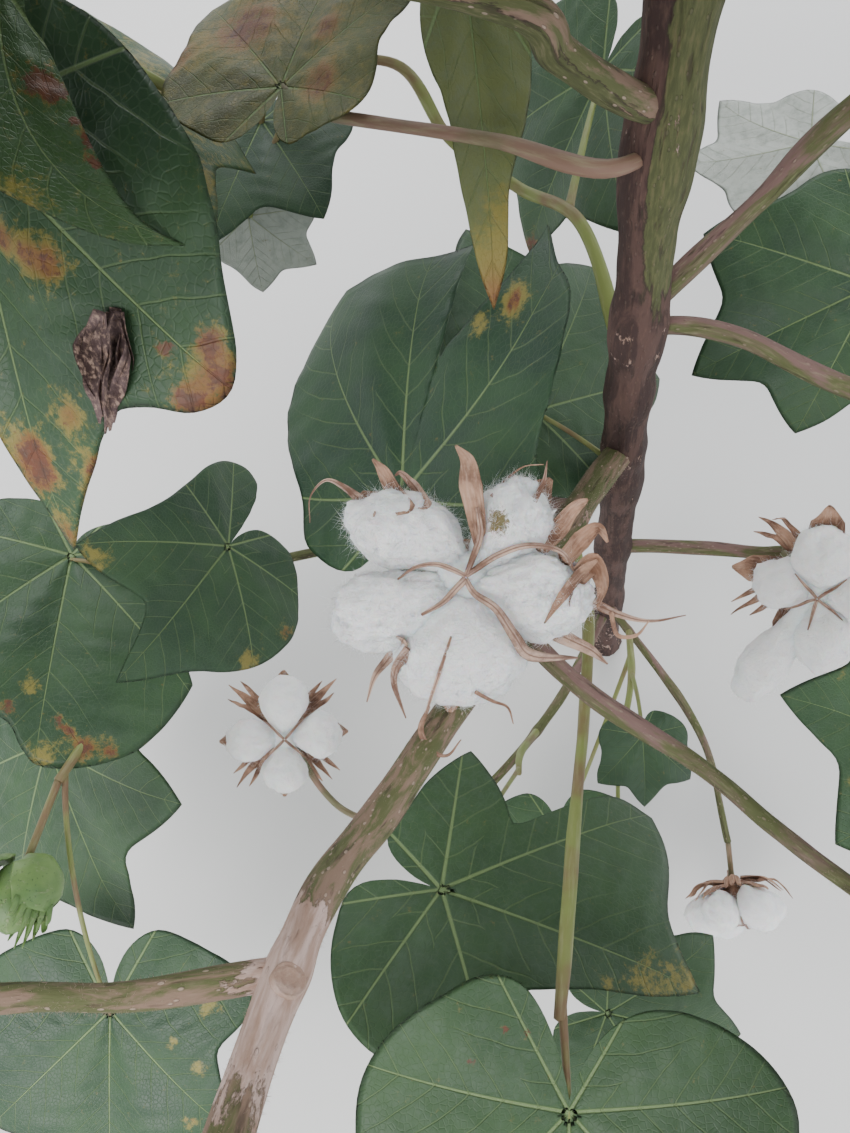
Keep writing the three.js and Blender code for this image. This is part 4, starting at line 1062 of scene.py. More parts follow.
class Paint:
    """A material's node tree, with short calls that add a node and join its sockets."""

    def __init__(self, name, roughness=0.7, **constants):
        self.material = bpy.data.materials.new(name)
        self.material.use_nodes = True
        self.tree = self.material.node_tree
        self.shader = self.tree.nodes["Principled BSDF"]
        for key, value in dict(roughness=roughness, **constants).items():
            self.join(key, value)

    def feed(self, socket, value):
        if isinstance(value, Value):
            self.tree.links.new(value.socket, socket)
        else:
            socket.default_value = value

    def join(self, key, value):
        self.feed(self.shader.inputs[SOCKETS[key]], value)

    def node(self, kind, inputs, output=0, **settings):
        """Adds a node, feeds its inputs and gives one of its outputs."""
        made = self.tree.nodes.new(f"ShaderNode{kind}")
        for key, value in settings.items():
            setattr(made, key, value)
        for key, value in inputs.items():
            self.feed(made.inputs[key], value)
        return Value(self, made.outputs[output])

    def math(self, operation, *values):
        return self.node("Math", dict(enumerate(values)), operation=operation)

    def ramp(self, value, low, high, to_low=0.0, to_high=1.0):
        inputs = {"Value": value, "From Min": low, "From Max": high, "To Min": to_low, "To Max": to_high}
        return self.node("MapRange", inputs, interpolation_type="SMOOTHSTEP")

    def mix(self, share, one, other):
        return self.node("Mix", {0: share, 6: solid(one), 7: solid(other)}, 2, data_type="RGBA")

    def noise(self, vector, scale, detail=4, roughness=0.6, distortion=0.0):
        inputs = {"Vector": vector, "Scale": scale, "Detail": detail, "Roughness": roughness,
                  "Distortion": distortion}
        return self.node("TexNoise", inputs)

    def cells(self, vector, scale, feature="F1", dimensions="3D"):
        inputs = {"Vector": vector, "Scale": scale}
        return self.node("TexVoronoi", inputs, voronoi_dimensions=dimensions, feature=feature)

    def stretched(self, vector, along):
        return self.node("Mapping", {"Vector": vector, "Scale": (1, 1, along)})

    def place(self):
        return self.node("TexCoord", {}, "Object")

    def attribute(self, name, output="Vector"):
        return self.node("Attribute", {}, output, attribute_name=name)

    def part(self, vector, axis):
        return self.node("SeparateXYZ", {"Vector": vector}, axis)

    def done(self, colour, height=None, distance=0.0006, strength=0.9):
        """Joins the colour and the height of the bumps to the shader, and gives the material."""
        self.feed(self.shader.inputs["Base Color"], colour)
        if height:
            normal = self.node("Bump", {"Height": height, "Distance": distance, "Strength": strength})
            self.feed(self.shader.inputs["Normal"], normal)
        return self.material


def vein_masks(paint):
    """How near a place of the blade is to a main vein, to a side vein and to the net between them."""
    blade = paint.node("UVMap", {}, uv_map="blade")
    x, y = paint.part(blade, 0), paint.part(blade, 1)
    angle = paint.math("ABSOLUTE", paint.math("ARCTAN2", y, x))
    reach = paint.math("SQRT", x * x + y * y)
    vein = 0.0
    for before, after, bay in zip(MAIN_VEINS, MAIN_VEINS[1:], VEIN_BAYS):
        passed = paint.math("GREATER_THAN", angle, math.radians(bay))
        vein = passed * math.radians(after - before) + vein
    off = angle - vein
    along = reach * paint.math("COSINE", off)
    aside = reach * paint.math("ABSOLUTE", paint.math("SINE", off))
    main = paint.ramp(aside / paint.math("SUBTRACT", 1.12, reach), 0.0035, 0.0095, 1.0, 0.0)
    root = along - (aside * 0.8 + aside * aside * 0.9) + paint.noise(paint.place(), 60, 1) * 0.03
    side = paint.ramp(paint.math("PINGPONG", root, 0.062), 0.0018, 0.0055, 1.0, 0.0)
    side = side * paint.ramp(aside, 0.3, 0.12)
    net = paint.ramp(paint.cells(blade, 46, "DISTANCE_TO_EDGE", "2D"), 0.0, 0.16, 1.0, 0.0)
    return main, side, net


def leaf_material(name, looks, under, old=False):
    """A blade's side: green with palmate veins and their net, and the yellow and brown of the marks."""
    paint = Paint(name, specular=0.38 if under else 0.42)
    main, side, net = vein_masks(paint)
    place = paint.place()
    cloud = paint.noise(place, 26, 5)
    fine = paint.noise(place, 210)
    tint = paint.attribute("tint")
    yellowing, browning, own = [paint.part(tint, axis) for axis in range(3)]
    deep, green, light = leaf_greens(looks, under, old)
    base = paint.mix(paint.ramp(cloud, 0.3, 0.72), deep, green)
    base = paint.mix(paint.ramp(own, 1.5, 1.8) if under else own * 0.5, base, light)
    base = paint.mix(paint.ramp(fine, 0.4, 0.75) * (own * 0.17 + 0.05), base, looks.leaf_dust)
    for vein, strength in ((net, 0.05), (side, 0.3), (main, 0.8)):
        base = paint.mix(vein * strength, base, looks.under_vein if under else looks.leaf_vein)
    ragged = (paint.noise(place, 190, 8, 0.8) - 0.5) * (1.8 if old else 3.2)
    dying = paint.mix(paint.ramp(browning, 0.05, 0.5), looks.leaf_yellow, looks.leaf_orange)
    base = paint.mix(paint.ramp(yellowing + ragged, 0.3, 0.8) * 0.85, base, dying)
    rust = paint.mix(paint.ramp(fine, 0.35, 0.7), looks.leaf_rust, looks.leaf_brown)
    base = paint.mix(paint.ramp(browning + ragged, 0.45, 0.72), base, rust)
    paint.join("roughness", paint.ramp(cloud, 0.3, 0.8, 0.58 if under else 0.44, 0.72 if under else 0.6))
    raised = (main + side * 0.6) * (1.0 if under else -0.8) + net * (0.16 if under else -0.14)
    return paint.done(base, raised + fine * 0.35, 0.0007)


def leaf_greens(looks, under, old):
    """The dark, the usual and the pale green of a blade's side."""
    if under:
        return looks.under_shade, looks.under_green, looks.under_silver
    if old:
        return looks.old_shade, looks.old_green, looks.old_light
    return looks.leaf_shade, looks.leaf_green, looks.leaf_fresh


# Kinds of bark: the name of the finish, its two colours and that of its threads, how much it is streaked,
# how much its pores show and how fine its patches are.
BARKS = {
    "purple": ("stem_bark", "bark_purple", "bark_wine", "bark_brown", 0.3, 0.08, 85),
    "hairy": ("branch_bark", "bark_tan", "bark_green", "bark_pale", 0.4, 0.6, 190),
    "green": ("green_bark", "bark_flush", "bark_green", "stalk_pale", 0.4, 0.3, 85),
}


def bark_material(looks, kind):
    """Bark along a limb's own grain: two colours in long streaks, fissures, pale pores and corky patches."""
    name, *colours, streak, pores, mottle = BARKS[kind]
    base, second, pale = [getattr(looks, colour) for colour in colours]
    paint = Paint(name, roughness=0.8, specular=0.3)
    grain = paint.attribute("grain")
    long = paint.stretched(grain, 0.16)
    patches = paint.noise(paint.stretched(grain, 0.22), mottle, 5, 0.65, 0.6)
    threads = paint.noise(long, 900)
    colour = paint.mix(paint.ramp(patches, 0.5 - 0.25 * streak, 0.5 + 0.12 * streak), base, second)
    blotch = (patches - 0.5) * 1.9
    green = paint.ramp(paint.attribute("green", "Fac") + blotch, 0.42, 0.58)
    mossy = paint.mix(paint.ramp(threads, 0.35, 0.65), looks.bark_moss, looks.bark_green)
    colour = paint.mix(green, colour, mossy)
    colour = paint.mix(green * green.inverse() * 3.2, colour, looks.bark_dark)
    colour = paint.mix(paint.ramp(threads, 0.5, 0.8) * 0.35, colour, pale)
    fissure = paint.ramp(paint.noise(long, 420, 3, 0.5), 0.3, 0.42, 1.0, 0.0)
    colour = paint.mix(fissure * 0.55, colour, looks.bark_dark)
    pore = paint.ramp(paint.cells(paint.stretched(grain, 0.5), 420), 0.14, 0.22, 1.0, 0.0)
    colour = paint.mix(pore * pores, colour, looks.bark_pore)
    flaking = (paint.noise(paint.stretched(grain, 0.45), 300, 5, 0.7) - 0.5) * 2.4 + blotch
    cork = paint.ramp(paint.attribute("cork", "Fac") + flaking * 0.7, 0.42, 0.56)
    crust = paint.mix(paint.ramp(patches, 0.35, 0.65), looks.cork_pale, looks.cork_tan)
    height = threads * 0.6 + patches * 0.8 - fissure * 0.5 + pore * 0.6 + cork * 0.7
    return paint.done(paint.mix(cork, colour, crust), height, strength=1.0)


def stalk_material(name, base, flush, looks):
    """A smooth green stalk, flushed with another colour along its grain."""
    paint = Paint(name, roughness=0.55, specular=0.4)
    streaks = paint.noise(paint.stretched(paint.attribute("grain"), 0.12), 500)
    clouds = paint.noise(paint.place(), 30, 3)
    colour = paint.mix(paint.ramp(clouds, 0.42, 0.66), base, flush)
    colour = paint.mix(paint.ramp(streaks, 0.45, 0.75) * 0.35, colour, looks.stalk_pale)
    return paint.done(colour, streaks, 0.0003, 0.8)


def green_stalk(name):
    return stalk_material(name, looks().stalk_green, looks().stalk_red, looks())


def lint_material(looks):
    """Lint: white, with a soft tangle of fibres and painted shade, a lavender grey, in the hollows between
    its tufts.
    """
    paint = Paint("lint", roughness=1.0, specular=0.1, subsurface=0.35, subsurface_scale=0.004,
                  sheen=0.25, sheen_roughness=0.6)
    place = paint.place()
    tangle = paint.noise(place, 520, 7, 0.72, 1.6)
    tufts = paint.noise(place, 130, 4, 0.6, 0.8)
    # Painted shade: a lavender grey where the tufts sink, in the hollows of the lint.
    colour = paint.mix(paint.ramp(tufts, 0.3, 0.62), looks.lint_shade, looks.lint_white)
    stain = paint.attribute("stain", "Fac") + (tangle - 0.5) * 2.4
    colour = paint.mix(paint.ramp(stain, 0.45, 0.75), colour, looks.lint_stain)
    return paint.done(colour, tangle + tufts * 1.2, 0.0012)


def dry_material(name, base, dark, pale, seam=0.0, grained=True):
    """Dry papery tissue: tan with long fibres, paler on its ridges, and a dark seam along some of them."""
    paint = Paint(name, roughness=0.85, specular=0.25)
    place = paint.place()
    blotches = paint.noise(place, 75, 5, 0.65)
    along = paint.stretched(paint.attribute("grain"), 0.12) if grained else paint.stretched(place, 0.35)
    fibres = paint.noise(along, 1300 if grained else 700, 4, 0.65)
    colour = paint.mix(paint.ramp(blotches, 0.36, 0.66), dark, base)
    colour = paint.mix(paint.ramp(fibres, 0.45, 0.7) * 0.55, colour, pale)
    colour = paint.mix(paint.ramp(fibres, 0.28, 0.42, 1.0, 0.0) * 0.6, colour, dark)
    if seam:
        aside = paint.math("ABSOLUTE", paint.part(paint.attribute("grain"), 0))
        colour = paint.mix(paint.ramp(aside, 0.00008, seam, 0.8, 0.0), colour, dark)
    return paint.done(colour, fibres + blotches)


def unripe_material(looks):
    """The smooth skin of a green boll and its bracts, with small dark glands and pale veins."""
    paint = Paint("unripe_green", roughness=0.42, specular=0.5)
    place = paint.place()
    clouds = paint.noise(place, 60)
    glands = paint.ramp(paint.cells(place, 520), 0.1, 0.2, 1.0, 0.0)
    veins = paint.ramp(paint.noise(paint.stretched(place, 0.3), 340, 3), 0.55, 0.7)
    colour = paint.mix(paint.ramp(clouds, 0.35, 0.7), looks.unripe_green, looks.unripe_light)
    colour = paint.mix(veins * 0.3, colour, looks.stalk_pale)
    colour = paint.mix(glands * 0.5, colour, looks.leaf_shade)
    return paint.done(colour, veins - glands, 0.0003, 0.7)


def hair_material(looks):
    paint = Paint("hair_pale", roughness=0.6)
    return paint.done(paint.mix(paint.noise(paint.place(), 90), looks.bark_pale, looks.bark_pore))


def floor_material(looks):
    """A plain pale floor with the faintest unevenness."""
    paint = Paint("pale_floor", roughness=0.9, specular=0.2)
    cloud = paint.ramp(paint.noise(paint.place(), 1.5, 2), 0.3, 0.7, 0.0, 0.06)
    return paint.done(paint.mix(cloud, looks.floor, looks.floor_shade))


# What a user may change: each colour of the finishes, and what it is for.

COLOURS = dict(
    leaf_green=((0.034, 0.082, 0.034), "Upper side of a leaf"),
    leaf_shade=((0.015, 0.043, 0.025), "Darker patches of the upper side"),
    leaf_fresh=((0.054, 0.11, 0.036), "What some leaves lean towards"),
    leaf_dust=((0.11, 0.15, 0.12), "Fine pale bloom on a leaf"),
    leaf_vein=((0.19, 0.27, 0.11), "Veins of the upper side"),
    leaf_yellow=((0.26, 0.215, 0.05), "Yellowing tissue"),
    leaf_orange=((0.25, 0.11, 0.03), "Tissue that dies back round a mark"),
    leaf_rust=((0.15, 0.052, 0.026), "Dead tissue, reddish"),
    leaf_brown=((0.09, 0.045, 0.03), "Dead tissue, dark"),
    old_green=((0.105, 0.12, 0.036), "Upper side of a leaf that is dying"),
    old_shade=((0.05, 0.048, 0.015), "Darker patches of a dying leaf"),
    old_light=((0.175, 0.205, 0.075), "What some dying leaves lean towards"),
    under_green=((0.17, 0.23, 0.15), "Under side of a leaf"),
    under_shade=((0.11, 0.165, 0.11), "Darker patches of the under side"),
    under_silver=((0.47, 0.49, 0.46), "What some under sides lean towards"),
    under_vein=((0.33, 0.37, 0.23), "Veins of the under side"),
    bark_purple=((0.092, 0.052, 0.044), "Main stem"),
    bark_wine=((0.046, 0.026, 0.024), "Dark patches of the main stem"),
    bark_flush=((0.19, 0.115, 0.105), "Sunny side of a green branch"),
    bark_brown=((0.21, 0.125, 0.09), "Brown of stalks and pale threads of the main stem"),
    bark_tan=((0.225, 0.15, 0.11), "Hairy branches"),
    bark_green=((0.098, 0.107, 0.044), "Green bark"),
    bark_moss=((0.068, 0.075, 0.032), "Darker threads of green bark"),
    bark_dark=((0.035, 0.022, 0.018), "Cracks of the bark"),
    bark_pore=((0.48, 0.36, 0.29), "Pale pores of the bark"),
    bark_pale=((0.3, 0.22, 0.17), "Pale threads of the bark"),
    cork_pale=((0.56, 0.42, 0.38), "Corky patch, pale"),
    cork_tan=((0.34, 0.22, 0.17), "Corky patch, tan"),
    stalk_green=((0.2, 0.24, 0.07), "Leaf stalks and thin stems"),
    stalk_red=((0.18, 0.11, 0.06), "Reddish flush of a stalk"),
    stalk_pale=((0.38, 0.38, 0.22), "Pale streaks of a stalk"),
    lint_white=((0.985, 0.982, 0.985), "Lint"),
    # The colour for the hollows of the lint is painted shade, a lavender grey laid where the tufts sink.
    lint_shade=((0.93, 0.912, 0.93), "Hollows of the lint"),
    lint_stain=((0.19, 0.15, 0.06), "Stain on one lock"),
    bur_tan=((0.45, 0.27, 0.185), "Dry valves and bracts"),
    bur_dark=((0.16, 0.085, 0.06), "Dark side of the dry parts"),
    bur_pale=((0.59, 0.41, 0.32), "Ridges of the dry parts"),
    withered=((0.165, 0.112, 0.112), "Flower that withered on a leaf"),
    unripe_green=((0.095, 0.185, 0.052), "Green boll and buds"),
    unripe_light=((0.16, 0.262, 0.078), "Light side of a green boll"),
    floor=((0.6, 0.596, 0.59), "Floor under the plant"),
    floor_shade=((0.55, 0.546, 0.54), "Faint patches of the floor"),
)


def colour_property(key, colour, description):
    name = key.replace("_", " ").capitalize()
    return bpy.props.FloatVectorProperty(
        name=name, description=description, default=colour, subtype="COLOR", size=3, min=0, max=1)


def number_property(name, default, description, unit="NONE"):
    return bpy.props.FloatProperty(name=name, description=description, default=default, unit=unit)


class CottonLooks(bpy.types.PropertyGroup):
    """The colours of the plant's finishes and of the floor."""

    __annotations__ = {key: colour_property(key, *row) for key, row in COLOURS.items()}


class CottonSizes(bpy.types.PropertyGroup):
    """The sizes of what the plan leaves to the dressing."""

    blade_thickness: number_property("Blade thickness", 0.0006, "Thickness of a leaf at its middle", "LENGTH")
    puff: number_property("Puff", 0.06, "Swelling of the blade between its veins, as a share of its length")
    ruffle: number_property("Ruffle", 0.017, "Waves along the rim, as a share of the length")
    fuzz: number_property("Lint fuzz", 0.0062, "Length of the loose fibres on the lint", "LENGTH")
    hair: number_property("Hair", 0.0011, "Length of the hairs on the brown branches", "LENGTH")
    bark_relief: number_property("Bark relief", 0.00028, "Height of the bark's ridges", "LENGTH")


class StageSettings(bpy.types.PropertyGroup):
    """The floor, the lights and the camera."""

    floor_size: number_property("Floor size", 24, "Side of the floor", "LENGTH")
    key_power: number_property("Key light", 140, "Power of the large soft light")
    fill_power: number_property("Fill light", 50, "Power of the light across")
    back_power: number_property("Back light", 58, "Power of the light behind")
    sky: number_property("Sky", 1.15, "Strength of the even light all round")
    lens: number_property("Lens", 27.04, "Focal length of the camera in mm")


def looks():
    return bpy.context.scene.cotton_looks


def sizes():
    return bpy.context.scene.cotton_sizes


# Pieces.

def node_swellings(limb):
    """Distances along a limb at which something grows from it."""
    rows = [*LIMBS.values(), *MASSES.values(), *upper_rows().values(), *OPEN_BOLLS.values()]
    return [row["at"] for row in rows if row.get("on") == limb.name and "at" in row]


def bark_relief(limb, seed):
    """Ridges along the limb, finer cracks, and a swelling at each node."""
    places = node_swellings(limb)
    height = sizes().bark_relief / MM

    def relief(theta, s, radius):
        around = np.stack(np.broadcast_arrays(np.cos(theta) * radius, np.sin(theta) * radius, s * 0.12), -1)
        ridges = waves(around, 2.6, seed)
        lumps = waves(around * [1, 1, 3], 13, seed + 1) * 1.6
        swell = sum(np.exp(-((s - at) / (1.3 * radius)) ** 2) for at in places)
        return (ridges + lumps) * height * np.sqrt(radius / 5) + 0.16 * radius * swell

    return relief


def cork_mask(limb):
    """Where the corky crust lies along a limb."""

    def mask(grain):
        return sum((strength * np.exp(-((grain[:, 2] - at) / size) ** 2)
                    for at, size, strength in CORK.get(limb.name, [])), np.zeros(len(grain)))

    return mask


def green_mask(limb):
    """Where the bark is still green: one side of the upper main stem, the under side and end of a branch."""

    def mask(grain):
        right, out, s = grain.T
        share = s / limb.line.length
        if limb.name == "main_stem":
            one_side = eased(np.cos(np.arctan2(out, right) + 2.1), -0.5, 0.45)
            return np.clip(eased(s, 420, 520) * one_side + eased(share, 0.6, 1), 0, 0.82)
        under = eased(out / (np.hypot(right, out) + 1e-9), -0.5, 0.7)
        return (0.3 if limb.name == "front_branch" else 0.9) * under + 0.3 * eased(share, 0.6, 1)

    return mask


class COTTON_OT_bark(bpy.types.Operator):
    """Put bark with its relief over the main stem and each branch"""

    bl_idname = "cotton.bark"
    bl_label = "Bark of the limbs"

    def execute(self, context):
        paints = {kind: bark_material(looks(), kind) for kind in BARKS}
        for seed, (name, row) in enumerate(LIMBS.items()):
            limb = PLANT.limbs[name]
            heap = Heap(grain=3, cork=1, green=1)
            main = name == "main_stem"
            add_tube(heap, limb.fine, limb.radius, 40 if main else 24, 2.2, bark_relief(limb, 50 + seed),
                     flat_foot=main, cork=cork_mask(limb), green=green_mask(limb))
            slot = "bark" if row["bark"] != "green" else "green_bark"
            add_piece(f"{name}_bark", heap, [paints[row["bark"]]], slot, [name])
        return {"FINISHED"}


class COTTON_OT_hairs(bpy.types.Operator):
    """Grow the short pale hairs of the brown branches"""

    bl_idname = "cotton.hairs"
    bl_label = "Hairs of the branches"

    def execute(self, context):
        rng = np.random.default_rng(77)
        heap = Heap()
        for name, count in HAIRS.items():
            limb = PLANT.limbs[name]
            s = rng.uniform(0, limb.fine.length, count)
            placed = np.array([limb.fine.place(distance) for distance in s])
            middles, ways = placed[:, 0], placed[:, 1]
            spokes = units(np.cross(ways, rng.normal(size=(count, 3))))
            radius = limb.radius(s / limb.fine.length)
            roots = middles + spokes * (radius[:, None] - 0.15)
            lean = spokes + 0.5 * rng.normal(size=(count, 3))
            lengths = rng.uniform(0.5, 1.5, count) * sizes().hair / MM
            add_spikes(heap, roots, lean, lengths, 0.045)
        add_piece("branch_hairs", heap, [hair_material(looks())], "bark", [])
        return {"FINISHED"}


class COTTON_OT_twigs(bpy.types.Operator):
    """Grow the thin stems of the leaf masses and the stalks of their leaves"""

    bl_idname = "cotton.twigs"
    bl_label = "Thin stems and stalks"

    def execute(self, context):
        made = looks()
        green = green_stalk("stalk_green")
        brown = stalk_material("stalk_brown", made.bark_brown, made.bark_green, made)
        stems, stalks = Heap(grain=3), Heap(grain=3)
        for mass in PLANT.masses:
            dry = 1 if mass.name == "dying_leaf" else 0
            add_tube(stems, mass.fine, mass.radius, 12, 3.5, bark_relief(mass, 90), slot=dry)
            for leaf in mass.leaves:
                add_tube(stalks, self.stalk(leaf), stalk_radius(mass, leaf), 10, 4, slot=dry)
            for leaf in mass.young:
                add_tube(stalks, self.stalk(leaf), lambda share: lerp(0.9, 0.5, share), 5, 9, slot=dry)
        add_piece("thin_stems", stems, [green, brown], "green_bark", MASS_NODES)
        add_piece("leaf_stalks", stalks, [green, brown], "green_bark", MASS_NODES)
        return {"FINISHED"}

    def stalk(self, leaf):
        """The stalk's line, which ends just under the blade."""
        end = leaf.blade(0.02, 0) - leaf.up * 1.2
        return Line(curve_through(np.vstack([leaf.stalk.points[:-1], end]), 3))


def stalk_radius(mass, leaf):
    """A stalk's radius, which swells where it leaves the stem and where it meets the blade."""
    foot = min(STALK_RADIUS[0], 0.7 * mass.radius(min(leaf.at / mass.line.length, 1)))

    def radius(share):
        return lerp(foot, 1.15, share) + 0.5 * math.exp(-share * 22) + 0.35 * math.exp(-(1 - share) * 26)

    return radius


class COTTON_OT_leaves(bpy.types.Operator):
    """Grow the leaves that show, the leaves of the crown and the young leaves"""

    bl_idname = "cotton.leaves"
    bl_label = "Leaves"

    def execute(self, context):
        paints = [leaf_material("leaf_face", looks(), False), leaf_material("leaf_back", looks(), True)]
        worn = [leaf_material("old_leaf_face", looks(), False, True), paints[1]]
        near = [leaf for mass in PLANT.masses for leaf in mass.leaves if leaf.name]
        dying = [leaf for leaf in near if leaf.name in YELLOW_LEAVES]
        left = [leaf for leaf in near if leaf.name.startswith("left")]
        front = [leaf for leaf in near if leaf not in left and leaf.joint[1] < -110]
        middle = [leaf for leaf in near if leaf not in dying + left + front]
        crown = [leaf for mass in PLANT.masses for leaf in mass.leaves if not leaf.name]
        young = [leaf for mass in PLANT.masses for leaf in mass.young]
        self.add("yellow_leaves", dying, worn, "yellow_leaf", FINE_BLADE, 1)
        self.add("left_leaves_blades", left, paints, "leaf", FINE_BLADE, 2)
        self.add("front_leaves_blades", front, paints, "leaf", FINE_BLADE, 3)
        self.add("middle_leaves_blades", middle, paints, "leaf", FINE_BLADE, 7)
        half = len(crown) // 2
        self.add("crown_leaves_low", crown[:half], paints, "leaf", PLAIN_BLADE, 4)
        self.add("crown_leaves_high", crown[half:], paints, "leaf", PLAIN_BLADE, 5)
        self.add("young_leaves", young, paints, "leaf", SMALL_BLADE, 6)
        return {"FINISHED"}

    def add(self, name, leaves, paints, slot, grid, seed):
        rng = np.random.default_rng(seed)
        heap = Heap(blade=2, tint=3)
        for cell, leaf in enumerate(leaves):
            thick = sizes().blade_thickness / MM * max(0.5, leaf.length / 110)
            add_blade(heap, leaf, *grid, thick, rng, cell)
        add_piece(name, heap, paints, slot, MASS_NODES)


class Bloom:
    """An open boll's own directions, and places on its face in millimetres right, up and forward."""

    def __init__(self, centre, face, roll, locks=()):
        self.centre = np.array(centre, float)
        self.face = face
        right = unit(np.cross([0, 0, 1.0], face))
        up = np.cross(face, right)
        cos, sin = math.cos(math.radians(roll)), math.sin(math.radians(roll))
        self.right, self.up = right * cos + up * sin, up * cos - right * sin
        self.locks = locks

    def at(self, right, up, forward):
        return self.centre + right * self.right + up * self.up + forward * self.face

    def around(self, degrees):
        a = math.radians(degrees)
        return self.right * math.cos(a) + self.up * math.sin(a)

    def spread(self, degrees, rows, out=1, forward=1):
        """A path that runs outwards, from rows of (distance out, distance forward), each times its scale."""
        return [self.centre + self.around(degrees) * r * out + self.face * f * forward for r, f in rows]

    def sectors(self):
        """The angle of each lock, and the gap from it to the next."""
        angles = sorted(lock[0] for lock in self.locks)
        return [(angle, (after - angle) % 360) for angle, after in zip(angles, angles[1:] + angles[:1])]

    def lint_height(self, right, up):
        """How far forward the lint reaches at a place on the face."""
        height = 9 * math.sqrt(max(0, 1 - (right * right + up * up) / 169))
        for angle, out, long, wide, deep, lean in self.locks:
            a, b = math.radians(angle), math.radians(angle + lean)
            x, y = right - out * math.cos(a), up - out * math.sin(a)
            p = (x * math.cos(b) + y * math.sin(b)) / long
            q = (y * math.cos(b) - x * math.sin(b)) / wide
            height = max(height, deep * math.sqrt(max(0, 1 - p * p - q * q)))
        return height

    def draped(self, path, lift):
        """A path of (right, up, forward) that lies on the lint wherever it would run below it."""
        points = []
        for right, up, forward in path:
            inside = self.lint_height(right, up)
            points.append(self.at(right, up, max(forward, inside + lift) if inside > 0 else forward))
        return points


def open_blooms():
    """Each open boll that stands alone: its name, its row and its bloom."""
    for name, row in OPEN_BOLLS.items():
        yield name, row, Bloom(row["centre"], heading(*row["face"]), row["roll"], row["locks"])


def lock_template(level):
    """The points and faces of a ball, from the primitive."""
    bpy.ops.mesh.primitive_ico_sphere_add(subdivisions=level, radius=1)
    mesh = bpy.context.active_object.data
    points = np.empty(len(mesh.vertices) * 3)
    mesh.vertices.foreach_get("co", points)
    faces = np.array([face.vertices[:] for face in mesh.polygons])
    bpy.data.objects.remove(bpy.context.active_object)
    bpy.data.meshes.remove(mesh)
    return points.reshape(-1, 3), faces


def drawn_in(points, heart, middle):
    """The points of a lock, with its inner side drawn out to the heart of the boll and narrowed."""
    gap = np.linalg.norm(middle - heart)
    out = (middle - heart) / gap
    along = (points - middle) @ out
    reach = -along.min()
    inner = eased(-along / reach, 0, 1)[:, None]
    across = points - middle - along[:, None] * out
    stretch = 1 + ((gap - 1.5) / reach - 1) * inner
    return middle + along[:, None] * out * stretch + across * (1 - 0.35 * inner)


def add_lock(heap, centre, ways, extents, ball, rng, lump, fuzz, stain=None, heart=None):
    """One lock of lint: an egg that swells in tufts, with loose fibres standing off it."""
    points, faces = ball
    seed = int(rng.integers(1e6))
    tufts = sum(share * waves(points * fineness, 1.9, seed + k) for k, (share, fineness) in enumerate(TUFTS))
    tufts = (1 + lump * tufts) * (1 + 0.003 * rng.normal(size=len(points)))
    placed = centre + points * tufts[:, None] * extents @ np.array(ways)
    if heart is not None:
        placed = drawn_in(placed, heart, centre)
    mark = 0.0
    if stain is not None:
        mark = 1.1 * np.exp(-((placed - stain) ** 2).sum(1) / STAIN_RADIUS ** 2)
    heap.add(placed, [faces], stain=mark)
    if not fuzz:
        return
    chosen = rng.integers(0, len(points), fuzz)
    out = units((points[chosen] / extents) @ np.array(ways))
    lie = units(np.cross(out, rng.normal(size=out.shape)))
    lean = out * rng.uniform(0.15, 0.9, (fuzz, 1)) + lie
    bends = 0.9 * rng.normal(size=out.shape) + 0.2 * out
    lengths = rng.uniform(0.35, 1.0, fuzz) * sizes().fuzz / MM
    add_spikes(heap, placed[chosen] - out * 0.2, lean, lengths, 0.055, bends)


class COTTON_OT_lint(bpy.types.Operator):
    """Fill the open bolls with locks of lint and their loose fibres"""

    bl_idname = "cotton.lint"
    bl_label = "Lint of the open bolls"

    def execute(self, context):
        paint = lint_material(looks())
        rng = np.random.default_rng(12)
        balls = {level: lock_template(level) for level in (3, 4, 5)}
        for name, row, bloom in open_blooms():
            heap = Heap(stain=1)
            near = name == "front_boll"
            ways = (bloom.right, bloom.up, bloom.face)
            add_lock(heap, bloom.centre, ways, np.array([10, 10, 6]), balls[row["detail"] - 1], rng, 0.05, 0)
            for k, (angle, out, long, wide, deep, lean) in enumerate(row["locks"]):
                middle = bloom.centre + bloom.around(angle) * out
                way = bloom.around(angle + lean)
                ways = (way, np.cross(bloom.face, way), bloom.face)
                stain = bloom.at(*STAIN) if near and k == 1 else None
                add_lock(heap, middle, ways, np.array([long, wide, deep]), balls[row["detail"]], rng, 0.075,
                         1900 if near else 600, stain, bloom.centre)
            add_piece(f"{name}_locks", heap, [paint], "lint", [f"{name}_lint"])
        self.small_lint(paint, balls[3], rng)
        return {"FINISHED"}

    def small_lint(self, paint, ball, rng):
        heap = Heap(stain=1)
        for boll in [boll for mass in PLANT.masses for boll in mass.bolls if boll.open]:
            for k in range(4):
                way = boll.bloom().around(90 * k)
                ways = (way, np.cross(boll.face, way), boll.face)
                extents = boll.size * np.array([0.52, 0.46, 0.62])
                add_lock(heap, boll.centre + way * boll.size * 0.5, ways, extents, ball, rng, 0.07, 220)
        add_piece("small_boll_lint", heap, [paint], "lint", MASS_NODES)


